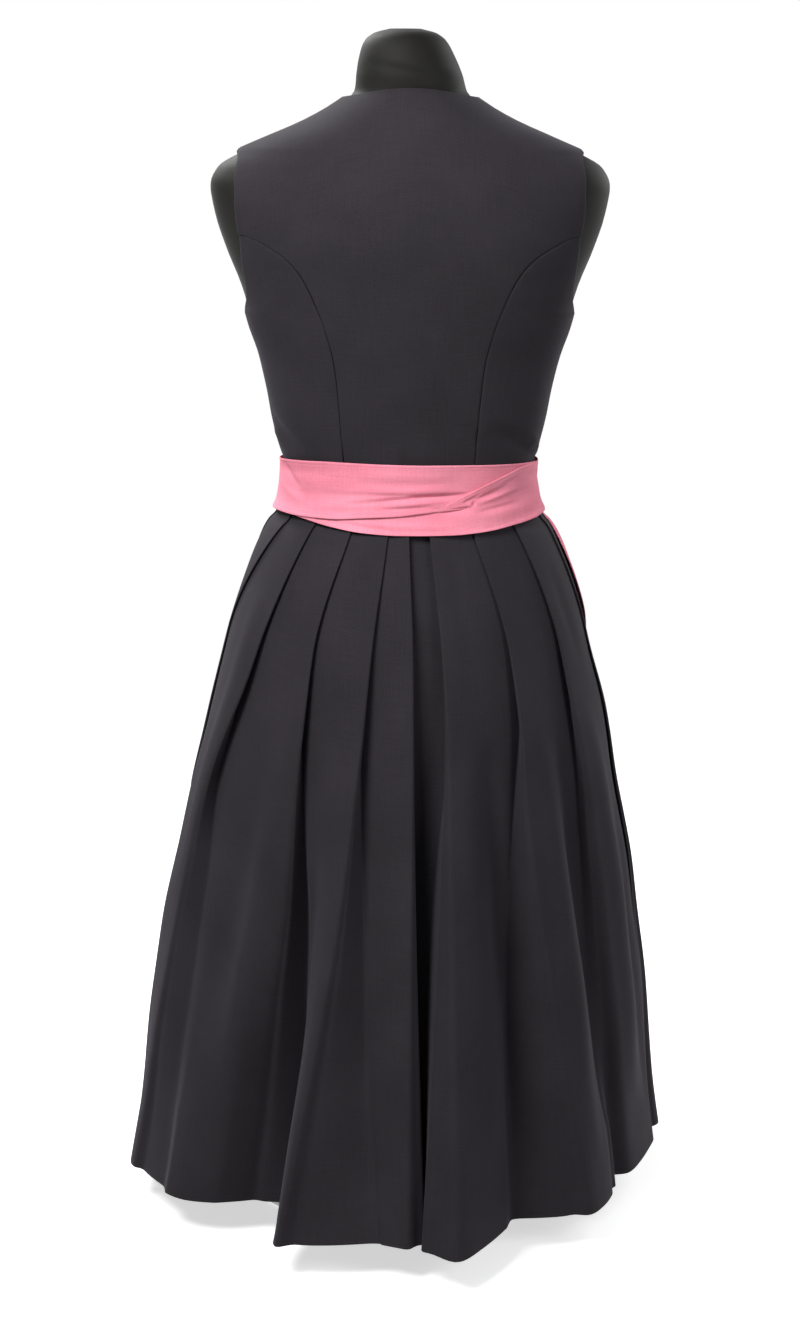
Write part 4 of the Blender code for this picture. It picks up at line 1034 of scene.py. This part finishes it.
# %% Bow
BOW_ANGLE, BOW_HEIGHT, BOW_ROOM = 172.0, 0.735, 0.0035
LOOP = Table(
    "turn along out half_height",
    (0.00, 0.0192, 0.0120, 0.012), (0.18, 0.042, 0.0215, 0.019), (0.34, 0.070, 0.0235, 0.024),
    (0.46, 0.085, 0.0165, 0.025), (0.50, 0.088, 0.0100, 0.025), (0.54, 0.085, 0.0040, 0.025),
    (0.66, 0.070, 0.0002, 0.024), (0.82, 0.042, 0.0002, 0.019), (1.00, 0.0192, 0.0030, 0.012),
)
TAIL = Table(
    "down spread width out",
    (0.000, 0.5, 0.020, 0.0060), (0.020, 1.5, 0.030, 0.0060), (0.060, 4.5, 0.046, 0.0050),
    (0.140, 8.0, 0.056, 0.0040), (0.250, 9.5, 0.058, 0.0040), (0.360, 10.0, 0.058, 0.0040),
)


def bow_points(along, out, height):
    """Points of the bow, which lies round the band: along it from the knot, and out of it."""
    base = band_radius(BOW_ANGLE, np.array(BOW_HEIGHT), 1.0)
    angle = BOW_ANGLE + np.degrees(along / base)
    radius = band_radius(angle, np.full(np.shape(angle), BOW_HEIGHT - 0.014), 1.0) + BOW_ROOM
    return polar(angle, radius + out, height)


turn = np.linspace(0, 1, 90)[None, :]
along, out, half_height = np.moveaxis(LOOP.read(turn), -1, 0)
share = edge_shares(0.050, 22)[:, None]
across = 2 * share - 1
fan = np.exp(-((along - 0.0192) / 0.024) ** 2)
creases = 0.0016 * fan * np.sin(across * 9.0 + 1.0) + 0.0006 * fan * np.sin(across * 21.0)
outer_half = np.where(turn < 0.5, 1, -0.25)
for name, side in (("bow_loop_left", -1), ("bow_loop_right", 1)):
    height = BOW_HEIGHT + half_height * across + side * 0.001 * np.sin(3 * along / 0.088)
    moved = out + creases * outer_half + turned_hem(share, 0.050) * np.sign(outer_half)
    points = bow_points(side * along + 0 * across, moved, height)
    cloth(name, points if side < 0 else points[:, ::-1], satin, "satin", 0.0005)

knot = bmesh.new()
bmesh.ops.create_cube(knot, size=2.0)
bmesh.ops.subdivide_edges(knot, edges=knot.edges[:], cuts=15, use_grid_fill=True)
for vertex in knot.verts:
    ball = vertex.co.normalized() * 1.35
    x, y, z = vertex.co.lerp(ball, 0.6)
    folds = 0.0007 * np.sin(x * 8.0 + 1.2 * z) * max(0.0, y) * (1 - 0.5 * abs(z))
    vertex.co = bow_points(
        np.array(x * 0.0154), np.array(0.5 * 0.0200 * (1 + y) - BOW_ROOM + 0.0001 + folds),
        BOW_HEIGHT + z * 0.0219)
bmesh.ops.recalc_face_normals(knot, faces=knot.faces)
laid = knot.loops.layers.uv.new("cloth")
for face in knot.faces:
    for loop in face.loops:
        loop[laid].uv = (loop.vert.co.x, loop.vert.co.z)
attach(add_piece("bow_knot_cloth", knot, satin), "satin", "bow_knot")

down = np.concatenate([np.arange(0, 0.36, 0.005), [0.3580, 0.3592, 0.3600]])[::-1][:, None]
for name, side, over in (("bow_tail_left", -1, 0.0), ("bow_tail_right", 1, 0.0022)):
    share = edge_shares(0.058, 24)[None, :]
    spread, width, out = (TAIL.column(name, down) for name in ("spread", "width", "out"))
    height = BOW_HEIGHT - 0.0263 - down - side * (share - 0.5) * 0.020 * down / 0.36
    lift, wave = (APRON.column(name, height) for name in ("lift", "wave"))
    angle = BOW_ANGLE + side * spread
    angle = angle + np.degrees((share - 0.5) * width / (skirt_radius(angle, height) + lift))
    soft = 0.0012 * np.sin(9.4 * (share - 0.5) + side + 6.0 * down) * np.exp(-((down - 0.02) / 0.12) ** 2)
    soft = soft + 0.0016 * np.sin(5.0 * share + 11.0 * down + side)
    radius = skirt_radius(angle, height) + lift + wave + out + over + soft + turned_hem(share, 0.058)
    cloth(name, polar(angle, radius, height), satin, "satin", 0.0005)
print("bow: loops, knot and tails")

# %% [markdown]
# ## Stitches
# The pink cloth's edges are turned in and sewn. A stitch is under half a millimetre thick, but a
# whole row of them catches the light as one line, and close up they have to be there. Each is a small
# squashed ball, laid along a path at even steps. A texture could fake them, but not their shadow.

# %% Stitch rows
STITCH, STITCH_STEP, STITCH_THICKNESS = 0.0024, 0.0034, 0.00021
BATCH = 50               # a mesh that grows makes each new stitch slower, so they are made a few at a time


def stitch_row(target, path, lift):
    """Lays stitches along a path of points, pushed out by lift from the cloth's middle."""
    path = np.asarray(path)
    lengths = np.linalg.norm(np.diff(path, axis=0), axis=1)
    walked = np.concatenate([[0.0], np.cumsum(lengths)])
    starts = np.arange(STITCH_STEP, walked[-1] - STITCH_STEP, STITCH_STEP)
    at, after = ([np.interp(where, walked, path[:, axis]) for axis in range(3)]
                 for where in (starts, starts + STITCH))
    size = Matrix.Diagonal((STITCH / 2, STITCH_THICKNESS, STITCH_THICKNESS, 1))
    stitches = list(zip(np.array(at).T, np.array(after).T, lift(np.array(at).T)))
    for batch in range(0, len(stitches), BATCH):
        few = bmesh.new()
        for first, second, push in stitches[batch:batch + BATCH]:
            middle = Matrix.Translation(Vector((first + second) / 2 + push))
            turn = Vector(second - first).to_track_quat("X", "Z").to_matrix().to_4x4()
            bmesh.ops.create_uvsphere(
                few, u_segments=6, v_segments=4, radius=1.0, matrix=middle @ turn @ size)
        mesh = bpy.data.meshes.new("stitches")
        few.to_mesh(mesh)
        few.free()
        target.from_mesh(mesh)
        bpy.data.meshes.remove(mesh)


def outwards(distance):
    """A lift straight away from the axis, the same for every stitch."""
    def lift(places):
        flat = places * (1, 1, 0)
        return flat / np.linalg.norm(flat, axis=1, keepdims=True) * distance
    return lift


SEAM_STEP = 4            # the row or column of a strip's grid that its stitches follow
stitched = {
    "apron_tie_right": [tie_right[SEAM_STEP], tie_right[-1 - SEAM_STEP]],
    "apron_tie_left": [tie_left[SEAM_STEP], tie_left[-1 - SEAM_STEP]],
    "apron_panel": [apron[:, SEAM_STEP], apron[:, -1 - SEAM_STEP], apron[7]],
}
stitch_pieces = {}
for name, paths in stitched.items():
    sewn = bmesh.new()
    for path in paths:
        stitch_row(sewn, path, outwards(0.00038))
    stitch_pieces[name] = attach(add_piece(f"{name}_stitches", sewn, thread_finish), "satin")
    print(name, "stitch faces:", len(stitch_pieces[name].data.polygons))

# %% [markdown]
# ## The size of each cut
# Each piece of cloth is printed with the size it was cut to. The sizes come from the grids
# themselves: a grid laid flat is the cut.

# %% Printing the cut sizes
for name, (width, length, area) in made_cloth.items():
    stitches = [stitch_pieces[name]] if name in stitch_pieces else []
    print(f"{name}: cut {width * 1000:.0f} x {length * 1000:.0f} mm, {area * 1e4:.0f} cm2")

# %% [markdown]
# ## Floor, light and camera
# The floor and the backdrop are white, as behind a cut-out picture. The floor glows a little by itself
# and more so far away, so that no horizon cuts behind the dress, and it throws no light up the dark
# skirt. The world is white to the camera alone and lights the dress only softly. Behind the dress a
# large soft light high on the left gives the folds their shape, and a weaker one on the right keeps the
# dark cloth readable. Two more do the same for the front. The camera stands behind the dress, 2.8 m
# away and 1.14 m up, and looks down about twelve degrees.

# %% Floor
floor_finish = Finish("pale_floor", Roughness=0.9, Specular_IOR_Level=0.1,
                      Emission_Color=(1, 1, 1, 1), Emission_Strength=0.62)
ground = floor_finish.node("ShaderNodeTexCoord", output=3)
distance = floor_finish.node("ShaderNodeVectorMath", {0: ground}, output=1, operation="LENGTH")
grain = floor_finish.noise(ground, 40.0, 4.0)
floor_finish.shade(Base_Color=floor_finish.blend(grain, (0.86, 0.86, 0.86, 1), (0.90, 0.90, 0.90, 1)))
far = floor_finish.node("ShaderNodeMapRange", {"Value": distance, "From Min": 0.8, "From Max": 2.6})
glow = floor_finish.node("ShaderNodeEmission", {"Color": (1.0, 1.0, 1.0, 1), "Strength": 1.0})
mixed = floor_finish.node("ShaderNodeMixShader", {
    0: far, 1: Signal(floor_finish, floor_finish.shader.outputs[0]), 2: glow})
floor_finish.feed(floor_finish.tree.nodes["Material Output"].inputs["Surface"], mixed)

disc = bmesh.new()
bmesh.ops.create_circle(disc, cap_ends=True, segments=96, radius=14.0)
floor = add_piece("studio_floor", disc, floor_finish)
floor.visible_diffuse = False    # a pale floor would throw too much light up the dark skirt

# %% Lights and world
world = bpy.data.worlds.new("studio")
world.use_nodes = True
sky = world.node_tree
backdrop = sky.nodes["Background"]
soft_fill = sky.nodes.new("ShaderNodeBackground")
for background, colour, strength in (
        (backdrop, (1.0, 1.0, 1.0, 1), 1.0), (soft_fill, (0.96, 0.97, 1.0, 1), 0.16)):
    background.inputs["Color"].default_value = colour
    background.inputs["Strength"].default_value = strength
choice = sky.nodes.new("ShaderNodeMixShader")
seen = sky.nodes.new("ShaderNodeLightPath")
sky.links.new(seen.outputs["Is Camera Ray"], choice.inputs[0])
sky.links.new(soft_fill.outputs[0], choice.inputs[1])
sky.links.new(backdrop.outputs[0], choice.inputs[2])
sky.links.new(choice.outputs[0], sky.nodes["World Output"].inputs["Surface"])
scene.world = world


LIGHTS_AIM = (0, 0, 0.80)


def area_light(name, place, size, power):
    """A round soft light that looks at the waist."""
    light = bpy.data.lights.new(name, "AREA")
    light.shape = "DISK"
    light.size = size
    light.energy = power
    made = bpy.data.objects.new(name, light)
    made.location = place
    made.rotation_euler = (Vector(LIGHTS_AIM) - Vector(place)).to_track_quat("-Z", "Y").to_euler()
    scene.collection.objects.link(made)


area_light("key", (1.00, 1.16, 2.22), 1.1, 58)
area_light("fill", (-1.90, 1.60, 1.60), 1.2, 22)
area_light("front_key", (1.00, -1.36, 2.22), 1.1, 52)
area_light("front_fill", (-1.90, -1.75, 1.70), 1.2, 30)
scene.view_settings.view_transform = "Standard"

# %% Camera
CAMERA_PLACE = (0.008, 2.8, 1.139)
LOOK_DOWN, ROLL = 11.87, 0.25
FOCAL_PIXELS, PHOTO_HEIGHT, SENSOR = 2805, 1318, 36.0    # the lens as solved from the photo, in its pixels
lens = bpy.data.cameras.new("photo_camera")
lens.sensor_width = SENSOR
lens.lens = FOCAL_PIXELS / PHOTO_HEIGHT * SENSOR
camera = bpy.data.objects.new("photo_camera", lens)
camera.location = CAMERA_PLACE
aim = Matrix.Rotation(np.pi, 4, "Z") @ Matrix.Rotation(np.radians(90 - LOOK_DOWN), 4, "X")
camera.rotation_euler = (aim @ Matrix.Rotation(np.radians(ROLL), 4, "Z")).to_euler()
scene.collection.objects.link(camera)
scene.camera = camera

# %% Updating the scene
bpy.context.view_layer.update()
